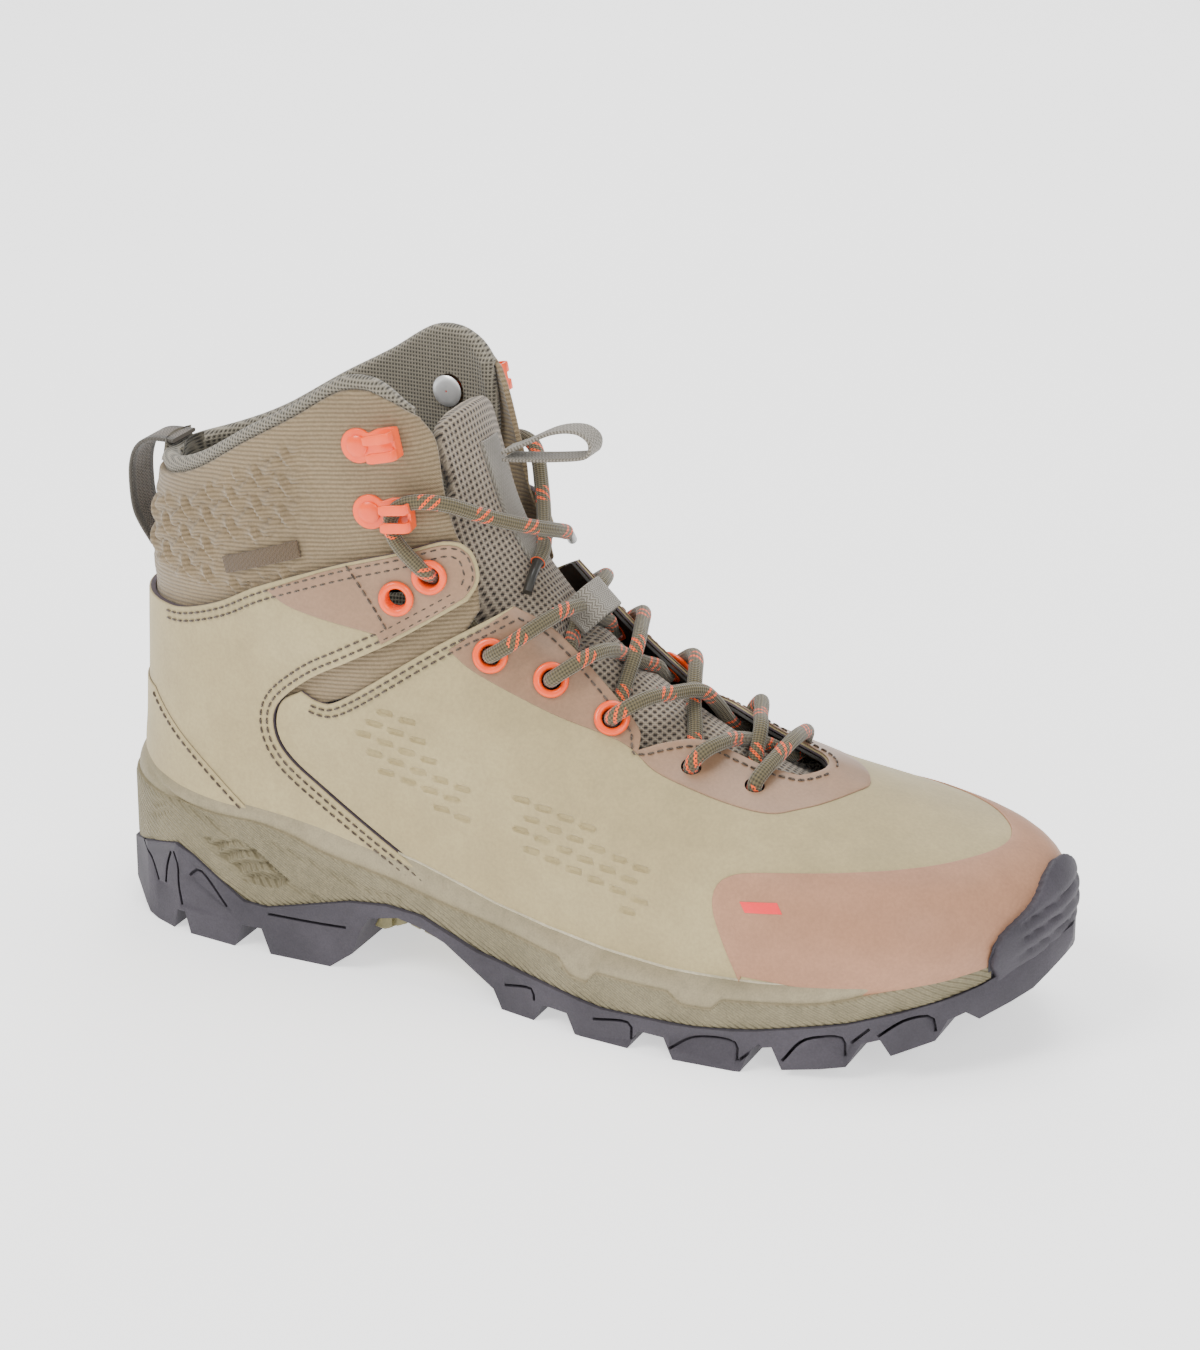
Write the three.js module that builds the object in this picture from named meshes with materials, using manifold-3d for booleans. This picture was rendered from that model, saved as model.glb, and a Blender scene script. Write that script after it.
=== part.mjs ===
// A right hiking boot, mid height, built piece by piece as a shoemaker would put it together.
// Units are millimetres. While it is being built, X runs from the heel to the toe, +Y is the
// medial side (the wearer's left), Z is up and the lugs stand on Z = 0. At the end the whole
// boot is moved so that its origin is at the middle of its footprint.
import * as THREE from "three";
import { mergeVertices } from "three/addons/utils/BufferGeometryUtils.js";
import { ParametricGeometry } from "three/addons/geometries/ParametricGeometry.js";
import Module from "manifold-3d";

const wasm = await Module();
wasm.setup();

// ---------------------------------------------------------------- driving dimensions
const GAP = 0.35; // clearance between neighbouring pieces
const LACE_RADIUS = 2.2;
const LACE_CLEARANCE = 0.5;
const EYELET_HOLE_RADIUS = 2.95;
const EYELET_BARREL_RADIUS = 3.7;
const EYELET_FLANGE_RADIUS = 5.3;
const PUNCHED_HOLE_RADIUS = 3.0;
const AROUND = 26; // facets round the last
const TOE_SHIFT = 7; // the toe swings this far to the medial side

// Distances from the last surface, outer face then inner face of each layer.
const FILM = [2.0, 1.5];
const OUTER_LAYER = [1.2, 0];
const TEXTILE_LAYER = [-0.4, -1.3];
const STIFFENER_LAYER = [-1.7, -2.5];
const LINING_LAYER = [-2.9, -6.0];
const TONGUE_LAYER = [-6.4, -11];
const TONGUE_CROWN = -5;
const BUMPER_LAYER = [4.2, 1.6];
const CAVITY = 1.55; // the sole's well is this much wider than the last

// The last: one row per level. Heel x, z, front x, z, then the half widths that shape the
// ring: heel end, lateral 30 to 150 degrees, toe end, medial 150 to 30 degrees.
const LAST_LEVELS = [
  [5, 32, 290, 22, 62, 55, 38, 40, 56, 72, 68, 66, 51, 32, 36, 54],
  [1, 48, 297, 40, 60, 55, 41, 41, 57, 77, 74, 68, 52, 35, 39, 55],
  [1.5, 64, 291, 55, 55, 52, 41, 40, 52, 63, 62, 60, 49, 37, 40, 52],
  [2, 80, 262, 64, 50, 48, 41, 39, 42, 44, 38, 40, 41, 38, 40, 49],
  [2.5, 94, 226, 74, 46, 45, 40, 38, 37, 30, 27, 29, 36, 38, 39, 46],
  [3, 106, 193, 88, 42, 42, 39, 38, 33, 31, 27, 30, 33, 38, 39, 42],
  [4, 118, 161, 107, 40, 39, 38, 38, 34, 36, 33, 36, 34, 38, 37, 39],
  [5.5, 131, 136, 132, 38, 37, 36, 37, 37, 42, 42, 42, 37, 37, 36, 37],
  [7, 141, 124, 155, 37, 36, 34, 35, 38, 49, 50, 49, 38, 35, 34, 36],
  [8.5, 150, 116, 178, 36, 35, 33, 34, 38, 52, 56, 52, 38, 34, 33, 35],
  [10, 159, 112, 200, 36, 35, 33, 34, 38, 52, 56, 52, 38, 34, 33, 35],
];
const TOP_LEVEL = LAST_LEVELS.length - 1;
const WIDTHS = 12;

// Side-view outlines, as [x, z].
const COLLAR_EDGE = [
  [-20, 141], [6, 144], [19, 146.5], [33, 152], [52, 164], [69, 174], [83, 183],
  [92, 184.5], [100, 182], [107, 177],
];
const CUFF_FRONT_EDGE = [[111.5, 169], [114.5, 155], [118, 142], [124, 130]];
const THROAT_EDGE = [
  [134.5, 120], [144, 114], [158, 102], [174, 88], [177, 81], [190, 84.5], [209, 77.5], [220, 74.5],
];
const STRAP_TOP = [
  [-20, 104], [15, 104], [26, 105], [59, 120.5], [83, 130], [102, 135.5], [114, 140], [119.5, 139],
];
const STRAP_NOSE = [[124, 131], [125, 127], [123, 122.5]];
const STRAP_LOWER = [[102, 108.5], [75, 93.5], [63, 83], [61, 74], [66, 65.5], [81, 55.5], [114, 35.5]];
const SOLE_PLAN_LATERAL = [
  [-6, 0], [-2.3, -15.5], [10, -29], [25, -36], [50, -39.5], [80, -40], [110, -41], [140, -45],
  [170, -52], [200, -55], [220, -54.5], [245, -49.5], [265, -42], [280, -32], [292, -18], [299, -6],
];
const SOLE_PLAN_MEDIAL = [
  [302, 6], [299, 18], [291, 31], [280, 41], [265, 48], [245, 51], [220, 51.5], [200, 49.5],
  [170, 44], [140, 37], [110, 33.5], [80, 35], [50, 36.5], [25, 34], [10, 28], [-2.3, 15.5],
];
const MIDSOLE_BOTTOM = [
  [-6, 18], [-2, 20], [12, 26], [24, 29.5], [31, 27], [41, 21], [50, 16], [58, 15.5], [72, 19],
  [87, 23], [100, 24.3], [112, 23.3], [123, 19.5], [132, 16.5], [148, 14], [177, 10.5],
  [207, 11.5], [226, 13.5], [252, 18], [275, 24.5], [285, 28],
];
const MIDSOLE_TOP = [
  [286.2, 36], [259, 30.5], [225, 26.5], [197, 25.3], [175, 26.2], [155, 28.5], [137, 32],
  [110, 40], [76, 46.5], [52, 48], [25, 49], [14, 50.5], [7, 53], [-12, 54.5],
];
const LUG_BOTTOM = [
  [303, 38], [301, 29], [296, 23], [285, 17.5], [282, 20.5], [278, 19], [275, 12.5], [264, 8.5],
  [261, 13.5], [256, 12], [252, 4.5], [234, 2], [231, 9], [225, 8], [222, 0], [201, 0], [198, 6.5],
  [189, 6.5], [186, 0], [168, 0], [165, 6], [156, 6], [153, 0], [141, 0], [138, 6], [134.5, 8.2],
  [120.5, 16.8], [113.4, 19.2], [104, 21.2], [94, 19], [90.5, 13.5], [88, 6], [80, 0], [59, 0],
  [56, 8], [49, 8], [46, 0], [29, 0], [27, 7], [24, 7], [22, 0], [14, 0], [6, 2], [-3, 6], [-8, 12],
];
const ARCH_INSERT = [
  [92.4, 13.6], [95, 18.4], [104, 20.6], [113, 18.6], [120, 16.3], [133.6, 8], [131, 5.5],
  [118, 12], [104, 16.5], [96, 13],
];
const BUMPER_EDGE = [[284, 12], [286.8, 36], [290, 46], [294, 52], [300, 57.5], [312, 59], [312, 12]];

// ---------------------------------------------------------------- materials
function finish(colour, roughness, metalness = 0) {
  return new THREE.MeshStandardMaterial({ color: colour, roughness, metalness });
}
const NUBUCK = finish("#b5a888", 0.8);
const COATED_FILM = finish("#a9937f", 0.5);
const RIBBED_FABRIC = finish("#877b64", 0.9);
const LINING_MESH = finish("#5d5a51", 0.95);
const TONGUE_MESH = finish("#8d8378", 0.95);
const WEBBING = finish("#6f6a60", 0.9);
const MIDSOLE_FOAM = finish("#958e77", 0.75);
const OUTSOLE_RUBBER = finish("#4a464c", 0.7);
const ARCH_PLASTIC = finish("#7a724f", 0.5);
const BOARD = finish("#8c6f4c", 0.9);
const STEEL = finish("#b9bbbd", 0.35, 1);
const ORANGE_LACQUER = finish("#ef7440", 0.4, 0.2);
const LACE_CORD = finish("#5b533a", 0.9);

// ---------------------------------------------------------------- solids and booleans
function solid(geometry) {
  const bare = geometry.index ? geometry.toNonIndexed() : geometry.clone();
  for (const name of Object.keys(bare.attributes)) {
    if (name !== "position") bare.deleteAttribute(name);
  }
  const merged = mergeVertices(bare, 1e-4);
  const index = merged.index.array;
  const triangles = [];
  for (let i = 0; i < index.length; i += 3) {
    const [a, b, c] = [index[i], index[i + 1], index[i + 2]];
    if (a !== b && b !== c && c !== a) triangles.push(a, b, c);
  }
  const vertProperties = merged.attributes.position.array;
  const build = () => {
    const triVerts = new Uint32Array(triangles);
    return new wasm.Manifold(new wasm.Mesh({ numProp: 3, vertProperties, triVerts }));
  };
  const made = build();
  if (made.volume() > 0) return made;
  for (let i = 0; i < triangles.length; i += 3) {
    [triangles[i], triangles[i + 1]] = [triangles[i + 1], triangles[i]];
  }
  return build();
}

function unite(parts) {
  return parts.reduce((sum, part) => sum.add(part));
}

const boot = new THREE.Group();

// Puts a finished solid in the boot as a named mesh; of several bodies, only the largest is kept.
function place(name, shape, material) {
  const bodies = shape.decompose().sort((a, b) => b.volume() - a.volume());
  const { vertProperties, triVerts, numProp } = bodies[0].getMesh();
  const vertices = new Float32Array((vertProperties.length / numProp) * 3);
  for (let i = 0; i < vertices.length / 3; i += 1) {
    vertices.set(vertProperties.subarray(i * numProp, i * numProp + 3), i * 3);
  }
  const geometry = new THREE.BufferGeometry();
  geometry.setAttribute("position", new THREE.BufferAttribute(vertices, 3));
  geometry.setIndex(new THREE.BufferAttribute(triVerts, 1));
  geometry.computeVertexNormals();
  const mesh = new THREE.Mesh(geometry, material);
  mesh.name = name;
  boot.add(mesh);
}

// A side-view outline carried across the boot, from y = from to y = to.
function across(outline, from = -80, to = 80) {
  const shape = new THREE.Shape(outline.map(([x, z]) => new THREE.Vector2(x, z)));
  const geometry = new THREE.ExtrudeGeometry(shape, { depth: to - from, bevelEnabled: false });
  return solid(geometry.rotateX(Math.PI / 2).translate(0, to, 0));
}

// A plan outline carried up, from z = from to z = to.
function upright(outline, from, to) {
  const shape = new THREE.Shape(outline.map(([x, y]) => new THREE.Vector2(x, y)));
  const geometry = new THREE.ExtrudeGeometry(shape, { depth: to - from, bevelEnabled: false });
  return solid(geometry.translate(0, 0, from));
}

// ---------------------------------------------------------------- the last
function catmull(p0, p1, p2, p3, t) {
  const cubic = 3 * (p1 - p2) + p3 - p0;
  const square = 2 * p0 - 5 * p1 + 4 * p2 - p3;
  return p1 + 0.5 * t * (p2 - p0 + t * (square + t * cubic));
}

function lastLevel(level) {
  const v = Math.min(Math.max(level, 0), TOP_LEVEL - 1e-9);
  const i = Math.floor(v);
  const b = LAST_LEVELS[i];
  const c = LAST_LEVELS[i + 1];
  const a = i > 0 ? LAST_LEVELS[i - 1] : b.map((value, k) => 2 * value - c[k]);
  const d = i < TOP_LEVEL - 1 ? LAST_LEVELS[i + 2] : c.map((value, k) => 2 * value - b[k]);
  return b.map((value, k) => catmull(a[k], value, c[k], d[k], v - i));
}

// u goes round the last: 0 heel, 1 toe, by the lateral side, and back to 2 by the medial side.
function lastPoint(u, level) {
  const [heelX, heelZ, toeX, toeZ, ...widths] = lastLevel(level);
  const turn = ((u % 2) + 2) % 2;
  const k = Math.floor(turn * 6);
  const at = (j) => widths[(k + j + WIDTHS) % WIDTHS];
  const width = catmull(at(-1), at(0), at(1), at(2), turn * 6 - k);
  const s = (1 - Math.cos(turn * Math.PI)) / 2;
  const x = heelX + (toeX - heelX) * s;
  const z = heelZ + (toeZ - heelZ) * s;
  const swing = TOE_SHIFT * Math.max(0, (x - 150) / 150) ** 2;
  return new THREE.Vector3(x, swing - Math.sin(turn * Math.PI) * width, z);
}

function lastNormal(u, level) {
  const step = 1e-3;
  const up = Math.min(level + step, TOP_LEVEL);
  const down = Math.max(level - step, 0);
  const alongU = lastPoint(u + step, level).sub(lastPoint(u - step, level));
  const alongV = lastPoint(u, up).sub(lastPoint(u, down));
  return alongU.cross(alongV).normalize();
}

function onLast(u, level, height = 0) {
  return lastPoint(u, level).addScaledVector(lastNormal(u, level), height);
}

// The last grown by a height, as one closed solid between two levels.
function lastSolid(height, from = 0, to = TOP_LEVEL, rows = TOP_LEVEL) {
  const ends = [from, to].map((level) => {
    const [heelX, heelZ, toeX, toeZ] = lastLevel(level);
    return new THREE.Vector3((heelX + toeX) / 2, 0, (heelZ + toeZ) / 2);
  });
  const stacks = rows + 2;
  const surface = (a, b, target) => {
    const row = Math.round(b * stacks);
    if (row === 0) target.copy(ends[0]);
    else if (row === stacks) target.copy(ends[1]);
    else target.copy(onLast(2 * a, from + ((to - from) * (row - 1)) / rows, height));
  };
  return solid(new ParametricGeometry(surface, AROUND, stacks));
}

const grown = new Map();
function last(height) {
  if (!grown.has(height)) grown.set(height, lastSolid(height));
  return grown.get(height);
}

function layer([outer, inner]) {
  return last(outer).subtract(last(inner));
}

// ---------------------------------------------------------------- holes and the lace
// Eyelet places on the last, lateral side: [u, level], from the toe up.
const HOLES = [[0.798, 3.8], [0.757, 4.1], [0.749, 4.93], [0.739, 5.53], [0.689, 5.83], [0.625, 6.55],
  [0.705, 6.88]];
const LACED = [0, 1, 2, 3, 4];
const TOP_LACED = 6;

function holeAt(index, side) {
  const [u, level] = HOLES[index];
  return side < 0 ? [u, level] : [2 - u, level];
}

// Turns +Z of a piece to the outward normal at a place on the last, +X forward and up the boot.
function standOn(geometry, u, level, height, side) {
  const z = lastNormal(u, level);
  const forward = lastPoint(u + 0.01 * (side < 0 ? 1 : -1), level).sub(lastPoint(u, level)).normalize();
  const y = new THREE.Vector3().crossVectors(z, forward).normalize();
  const x = new THREE.Vector3().crossVectors(y, z);
  const frame = new THREE.Matrix4().makeBasis(x, y, z).setPosition(onLast(u, level, height));
  return geometry.applyMatrix4(frame);
}

function stud(radius, from, to, u, level, side, facets = 8) {
  const geometry = new THREE.CylinderGeometry(radius, radius, to - from, facets);
  geometry.rotateX(Math.PI / 2).translate(0, 0, (from + to) / 2);
  return solid(standOn(geometry, u, level, 0, side));
}

// A lace that goes through the eyelets: its steps follow its own points, close at the bends.
class LaceCurve extends THREE.CatmullRomCurve3 {
  getUtoTmapping(u) {
    return u;
  }

  getSpacedPoints(divisions) {
    return this.getPoints(divisions);
  }
}

const UNDER = -4; // lace axis under the eyestay
const OVER = 6.2; // lace axis over an eyelet's flange
const LOW_CROSSING = -2.6;
const HIGH_CROSSING = 2.2;
const SINK = [0, 0.5, 1.5, 3.5]; // how deep each crossing sits into the padded tongue

// The place on the last nearest to a point, found by shrinking steps from a first guess.
function nearestOnLast(point, guessU, guessLevel) {
  let best = [guessU, guessLevel];
  let distance = lastPoint(...best).distanceTo(point);
  for (let step = 0.2; step > 5e-4; step /= 2) {
    for (let moved = true; moved; ) {
      moved = false;
      for (const [du, dv] of [[step / 4, 0], [-step / 4, 0], [0, step], [0, -step]]) {
        const next = [best[0] + du, best[1] + dv];
        const reach = lastPoint(...next).distanceTo(point);
        if (reach < distance - 1e-9) {
          best = next;
          distance = reach;
          moved = true;
        }
      }
    }
  }
  return best;
}

function nearestRidge(point) {
  const levels = Array.from({ length: 121 }, (_, i) => 3 + i / 24);
  const reach = (level) => lastPoint(1, level).distanceTo(point);
  return levels.reduce((best, level) => (reach(level) < reach(best) ? level : best));
}

// From inside one hole, across the tongue, to inside the next hole up on the other side.
function crossing(index, side, high) {
  const [u0, v0] = holeAt(index, side);
  const [u1, v1] = holeAt(index + 1, -side);
  const start = lastPoint(u0, v0);
  const end = lastPoint(u1, v1);
  const chordMiddle = start.clone().lerp(end, 0.5);
  const bow = lastPoint(1, nearestRidge(chordMiddle)).sub(chordMiddle);
  const middle = (high ? HIGH_CROSSING : LOW_CROSSING) - SINK[index];
  const stations = [
    [0.06, UNDER], [0.17, UNDER], [0.3, high ? -1.6 - SINK[index] : -3.6 - SINK[index]], [0.5, middle],
    [0.7, high ? 2.6 : 1.4], [0.83, 4.9], [0.93, OVER],
  ];
  const points = stations.map(([f, height]) => {
    const aim = start.clone().lerp(end, f).addScaledVector(bow, 4 * f * (1 - f));
    const [u, level] = nearestOnLast(aim, u0 + (u1 - u0) * f, v0 + (v1 - v0) * f);
    return onLast(u, level, height);
  });
  return points.concat([onLast(u1, v1, 3.6), onLast(u1, v1, 0), onLast(u1, v1, -3)]);
}

// From inside the top laced eyelet up to the upper one and round the lower hook.
function upperRun(side) {
  const [u5, v5] = holeAt(4, side);
  const [u7, v7] = holeAt(TOP_LACED, side);
  const mirror = ([u, level, height]) => onLast(side < 0 ? u : 2 - u, level, height);
  const inside = [0.25, 0.6].map((f) => onLast(u5 + (u7 - u5) * f, v5 + (v7 - v5) * f, UNDER));
  const outside = [
    [0.7, 7.12, 4.8], [0.688, 7.4, 4.2], [0.69, 7.66, 4.0], [0.712, 7.88, 4.2], [0.75, 7.98, 4.6],
    [0.8, 7.9, 4.6],
  ];
  return inside.concat(
    [onLast(u7, v7 - 0.12, -3.2), onLast(u7, v7, 0), onLast(u7, v7 + 0.06, 3.6)],
    outside.map(mirror),
  );
}

// The loose end leaves the hook, crosses the tongue and tucks under the other side's lacing.
const TAILS = [
  [[0.86, 7.62, 3.6], [0.93, 7.34, 3.8], [1, 7.14, 3.8], [1.07, 6.98, 3.4], [1.14, 6.8, 2.2]],
  [[0.86, 7.42, 0.8], [0.93, 7.16, -1.8], [1, 7, -2.2], [1.08, 6.84, -2.4], [1.13, 6.66, -2.6]],
];

function strand(firstSide, tail) {
  const points = [];
  let side = firstSide;
  LACED.slice(0, -1).forEach((index) => {
    const high = (index % 2 === 0) === (side < 0);
    points.push(...crossing(index, side, high));
    side = -side;
  });
  points.push(...upperRun(side));
  tail.forEach(([u, level, height]) => points.push(onLast(side < 0 ? u : 2 - u, level, height)));
  return points;
}

function laceRoute() {
  const [u, level] = HOLES[0];
  const lateral = [3, 0, -3].map((height) => onLast(u, level, height));
  const medial = [3, 0, -3].map((height) => onLast(2 - u, level, height));
  const chordMiddle = lastPoint(u, level).lerp(lastPoint(2 - u, level), 0.5);
  const bow = lastPoint(1, nearestRidge(chordMiddle)).sub(chordMiddle);
  const bar = [0.08, 0.25, 0.5, 0.75, 0.92].map((f) => {
    const aim = lastPoint(u, level).lerp(lastPoint(2 - u, level), f).addScaledVector(bow, 4 * f * (1 - f));
    return onLast(...nearestOnLast(aim, u + 2 * (1 - u) * f, level), 4.4);
  });
  return [
    ...strand(-1, TAILS[0]).reverse(), ...lateral.reverse(), ...bar, ...medial, ...strand(1, TAILS[1]),
  ];
}

const laceCurve = new LaceCurve(laceRoute(), false, "centripetal");
const laceSteps = laceCurve.points.length - 1;

function laceTube(radius, sides) {
  const corners = Array.from({ length: sides }, (_, i) => {
    const angle = (2 * Math.PI * i) / sides;
    return new THREE.Vector2(radius * Math.cos(angle), radius * Math.sin(angle));
  });
  const options = { steps: laceSteps, extrudePath: laceCurve, bevelEnabled: false };
  return solid(new THREE.ExtrudeGeometry(new THREE.Shape(corners), options));
}

const laceRoom = laceTube(LACE_RADIUS + LACE_CLEARANCE, 8);
place("lace", laceTube(LACE_RADIUS, 8), LACE_CORD);

// ---------------------------------------------------------------- holes through the upper
function lathe(profile, facets) {
  const outline = profile.concat([profile[0]]).map(([r, z]) => new THREE.Vector2(r, z));
  return new THREE.LatheGeometry(outline, facets).rotateX(Math.PI / 2);
}

const SIDES = [["lateral", -1], ["medial", 1]];
const PUNCHED = [0, 1];
const lacingHoles = [];
const flangeSeats = [];
for (const [, side] of SIDES) {
  for (let index = 0; index < HOLES.length; index += 1) {
    const radius = PUNCHED.includes(index) ? PUNCHED_HOLE_RADIUS : EYELET_BARREL_RADIUS + 1.5 * GAP;
    lacingHoles.push(stud(radius, -5, 5, ...holeAt(index, side), side));
    flangeSeats.push(stud(EYELET_FLANGE_RADIUS + 0.5, 2.3, 6, ...holeAt(index, side), side));
  }
}

// ---------------------------------------------------------------- lace hooks
const HOOKS = [["lower", 0.69, 7.8], ["upper", 0.71, 8.8]];
const HOOK_HEIGHT = 9;
const RIVET_BACK = -6; // the rivet is this far behind the hook's middle
const HOOK_PROFILE = [
  [-9, 0.15], [7.4, 0.15], [8.4, 1], [8.4, 7.8], [7.4, 8.8], [-0.5, 8.8], [-0.5, 7.7], [6.6, 7.7],
  [7.2, 7.1], [7.2, 1.8], [6.6, 1.2], [-9, 1.2],
];
const RIVET_PROFILE = [[0, -7.4], [1.5, -7.4], [1.5, 1.65], [3.2, 1.65], [3.2, 2.2], [2.2, 2.8], [0, 2.8]];
const WASHER_PROFILE = [[1.85, -7.3], [4.6, -7.3], [5, -6.9], [5, -6.6], [1.85, -6.6]];
const rivetHoles = [];
const washerSeats = [];
for (const [height, u, level] of HOOKS) {
  for (const [name, side] of SIDES) {
    const turn = side < 0 ? u : 2 - u;
    const put = (geometry) => solid(standOn(geometry, turn, level, 0, side));
    const atRivet = (geometry) => put(geometry.translate(RIVET_BACK, 0, 0));
    const shape = new THREE.Shape(HOOK_PROFILE.map(([x, z]) => new THREE.Vector2(x, z)));
    const plate = new THREE.ExtrudeGeometry(shape, { depth: HOOK_HEIGHT, bevelEnabled: false });
    plate.rotateX(Math.PI / 2).translate(0, HOOK_HEIGHT / 2, 0);
    const bore = new THREE.CylinderGeometry(1.85, 1.85, 24, 10).rotateX(Math.PI / 2);
    const seat = new THREE.CylinderGeometry(5.4, 5.4, 12, 12).rotateX(Math.PI / 2).translate(0, 0, -12.25);
    const hole = atRivet(bore);
    rivetHoles.push(hole);
    washerSeats.push(atRivet(seat));
    place(`${height}_hook_${name}`, put(plate).subtract(hole).subtract(laceRoom), ORANGE_LACQUER);
    place(`${height}_hook_rivet_${name}`, atRivet(lathe(RIVET_PROFILE, 8)), ORANGE_LACQUER);
    place(`${height}_hook_washer_${name}`, atRivet(lathe(WASHER_PROFILE, 10)), STEEL);
  }
}
const allHoles = unite(lacingHoles);
const eyeletRoom = unite([...lacingHoles, ...flangeSeats]);
const allRivetHoles = unite(rivetHoles);

// ---------------------------------------------------------------- eyelets
const EYELET_PROFILE = [
  [EYELET_HOLE_RADIUS, -1.9], [EYELET_BARREL_RADIUS, -1.9], [EYELET_BARREL_RADIUS, 2.7],
  [EYELET_FLANGE_RADIUS, 2.7], [EYELET_FLANGE_RADIUS - 0.3, 3.4], [3.8, 3.8], [EYELET_HOLE_RADIUS, 3.2],
];
for (const [name, side] of SIDES) {
  for (let index = PUNCHED.length; index < HOLES.length; index += 1) {
    const ring = solid(standOn(lathe(EYELET_PROFILE, 10), ...holeAt(index, side), 0, side));
    place(`eyelet_${index + 1}_${name}`, ring.subtract(laceRoom), ORANGE_LACQUER);
  }
}

// ---------------------------------------------------------------- the upper's panels
const shift = (outline, dx, dz) => outline.map(([x, z]) => [x + dx, z + dz]);
const FAR_FRONT = [[232, 100], [330, 100], [330, 0]];

const quarter = layer(OUTER_LAYER)
  .intersect(across([
    ...THROAT_EDGE, ...FAR_FRONT, [116, 0], ...shift(STRAP_LOWER, 0.6, 0.3).reverse().slice(0, 5),
    [71, 88], [77, 86], [85, 88], [113, 107],
  ]))
  .subtract(allHoles)
  .subtract(laceRoom);
place("front_quarter_and_vamp", quarter, NUBUCK);

const REAR_OUTLINE = [...STRAP_TOP, ...STRAP_NOSE, ...STRAP_LOWER, [116, 0], [-20, 0]];
for (const [name, side] of SIDES) {
  const half = side < 0 ? across(REAR_OUTLINE, -80, -0.2) : across(REAR_OUTLINE, 0.2, 80);
  place(`rear_quarter_${name}`, layer(OUTER_LAYER).intersect(half).subtract(allHoles), NUBUCK);
}

const CUFF_OUTLINE = [
  ...COLLAR_EDGE, ...CUFF_FRONT_EDGE, [126, 119], [117, 106], [92, 91], [60, 80], [-20, 92],
];
const cuff = layer(TEXTILE_LAYER)
  .intersect(across(CUFF_OUTLINE))
  .subtract(allHoles)
  .subtract(allRivetHoles)
  .subtract(laceRoom);
place("ankle_cuff", cuff, RIBBED_FABRIC);

const FACING_OUTLINE = [
  [133.5, 119.5], ...THROAT_EDGE.slice(1), [232, 90], [236, 90], [236, 60], [205, 60], [180, 67],
  [150, 80], [126, 95], [119.5, 104.5], [127, 116.5],
];
const facing = layer(TEXTILE_LAYER)
  .intersect(across(FACING_OUTLINE))
  .subtract(allHoles)
  .subtract(laceRoom);
place("eyestay_facing", facing, LINING_MESH);

const EYESTAY_FILM = [
  ...shift(THROAT_EDGE, 0, -1.2), [233, 100], [233, 71], [226, 69], [219, 68.5], [209, 70], [196, 73],
  [179, 77.5], [171, 83], [149, 90], [127, 99.5], [116, 105],
];
const eyestay = layer(FILM).intersect(across(EYESTAY_FILM)).subtract(eyeletRoom).subtract(laceRoom);
place("eyestay_overlay", eyestay, COATED_FILM);

const STRAP_FILM = [[88, 131], [102, 134.5], [114, 139], [118.5, 138], [123, 131], [124, 127], [122, 123.5],
  [102, 110.5]];
for (const [name, side] of SIDES) {
  const half = side < 0 ? across(STRAP_FILM, -80, 0) : across(STRAP_FILM, 0, 80);
  place(`strap_overlay_${name}`, layer(FILM).intersect(half).subtract(eyeletRoom), COATED_FILM);
}

const aboveMidsole = shift(MIDSOLE_TOP, 0, 0.5);
const TOE_FILM = [
  [209, 54], [214, 57.5], [246, 59], [272, 59.5], [298, 60], [291.5, 52], [288.5, 46.5], [285.5, 37],
  [259, 31], [225, 27], [218, 27], [212.5, 43],
];
place("toe_cap_film", layer(FILM).intersect(across(TOE_FILM)), COATED_FILM);

const HEEL_PANEL = [[-20, 78], [6, 77], [12, 73], [24, 65], [51, 49], ...aboveMidsole.slice(-4)];
place("heel_panel", layer(FILM).intersect(across(HEEL_PANEL)), NUBUCK);

const LABEL = [[46, 121.5], [73, 131.5], [71.5, 136], [44.5, 126]];
place("woven_label", layer([0.7, 0]).intersect(across(LABEL, -80, 0)), WEBBING);

// ---------------------------------------------------------------- stiffeners and lining
const COUNTER_OUTLINE = [[-20, 37], [70, 37], [78, 60], [50, 88], [-20, 92]];
place("heel_counter", layer(STIFFENER_LAYER).intersect(across(COUNTER_OUTLINE)), BOARD);
const puff = layer(TEXTILE_LAYER).intersect(across([[243, 90], [243, 30], [330, 30], [330, 90]]));
place("toe_puff", puff, BOARD);

const LINING_FRONT = [
  [107, 176], [109, 165], [107, 150], [98, 141], [94, 128], [96, 114], [106, 102], [128, 90], [150, 78],
  [178, 68], [200, 64], [222, 60], [234, 58], [238, 100], [330, 100], [330, 0], [-20, 0],
];
const LINING_OUTLINE = [...shift(COLLAR_EDGE.slice(0, -1), 0, 0.6), ...LINING_FRONT];
const lining = layer(LINING_LAYER)
  .intersect(across(LINING_OUTLINE))
  .subtract(allRivetHoles)
  .subtract(unite(washerSeats))
  .subtract(laceRoom);
place("foot_lining", lining, LINING_MESH);

// ---------------------------------------------------------------- tongue
const CROWN_HALF_WIDTH = 14;
const TONGUE_TOP_HALF_WIDTH = 15;
const TONGUE_CUT = [[98, 134.8], [146, 160.3]]; // where the tongue folds
const TONGUE_LOWER = [
  [234, 56], [222, 58], [200, 64], [178, 70], [158, 84], [140, 98], [124, 112], [112, 122], ...TONGUE_CUT,
  [236, 160],
];
const TONGUE_UPPER = [
  [116.5, 146.9], [120.4, 148.1], [124.2, 151], [119, 160], [112, 168], [107, 172], [102, 171.5],
  [100, 168], [105, 161], [111, 154],
];
const slab = (half, outline) => across(outline, -half, half);
const WHOLE_BOOT = [[-40, -10], [340, -10], [340, 240], [-40, 240]];
const crownSlab = slab(CROWN_HALF_WIDTH, WHOLE_BOOT);
const tongueRoom = last(TONGUE_LAYER[0]).add(last(TONGUE_CROWN).intersect(crownSlab));
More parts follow.
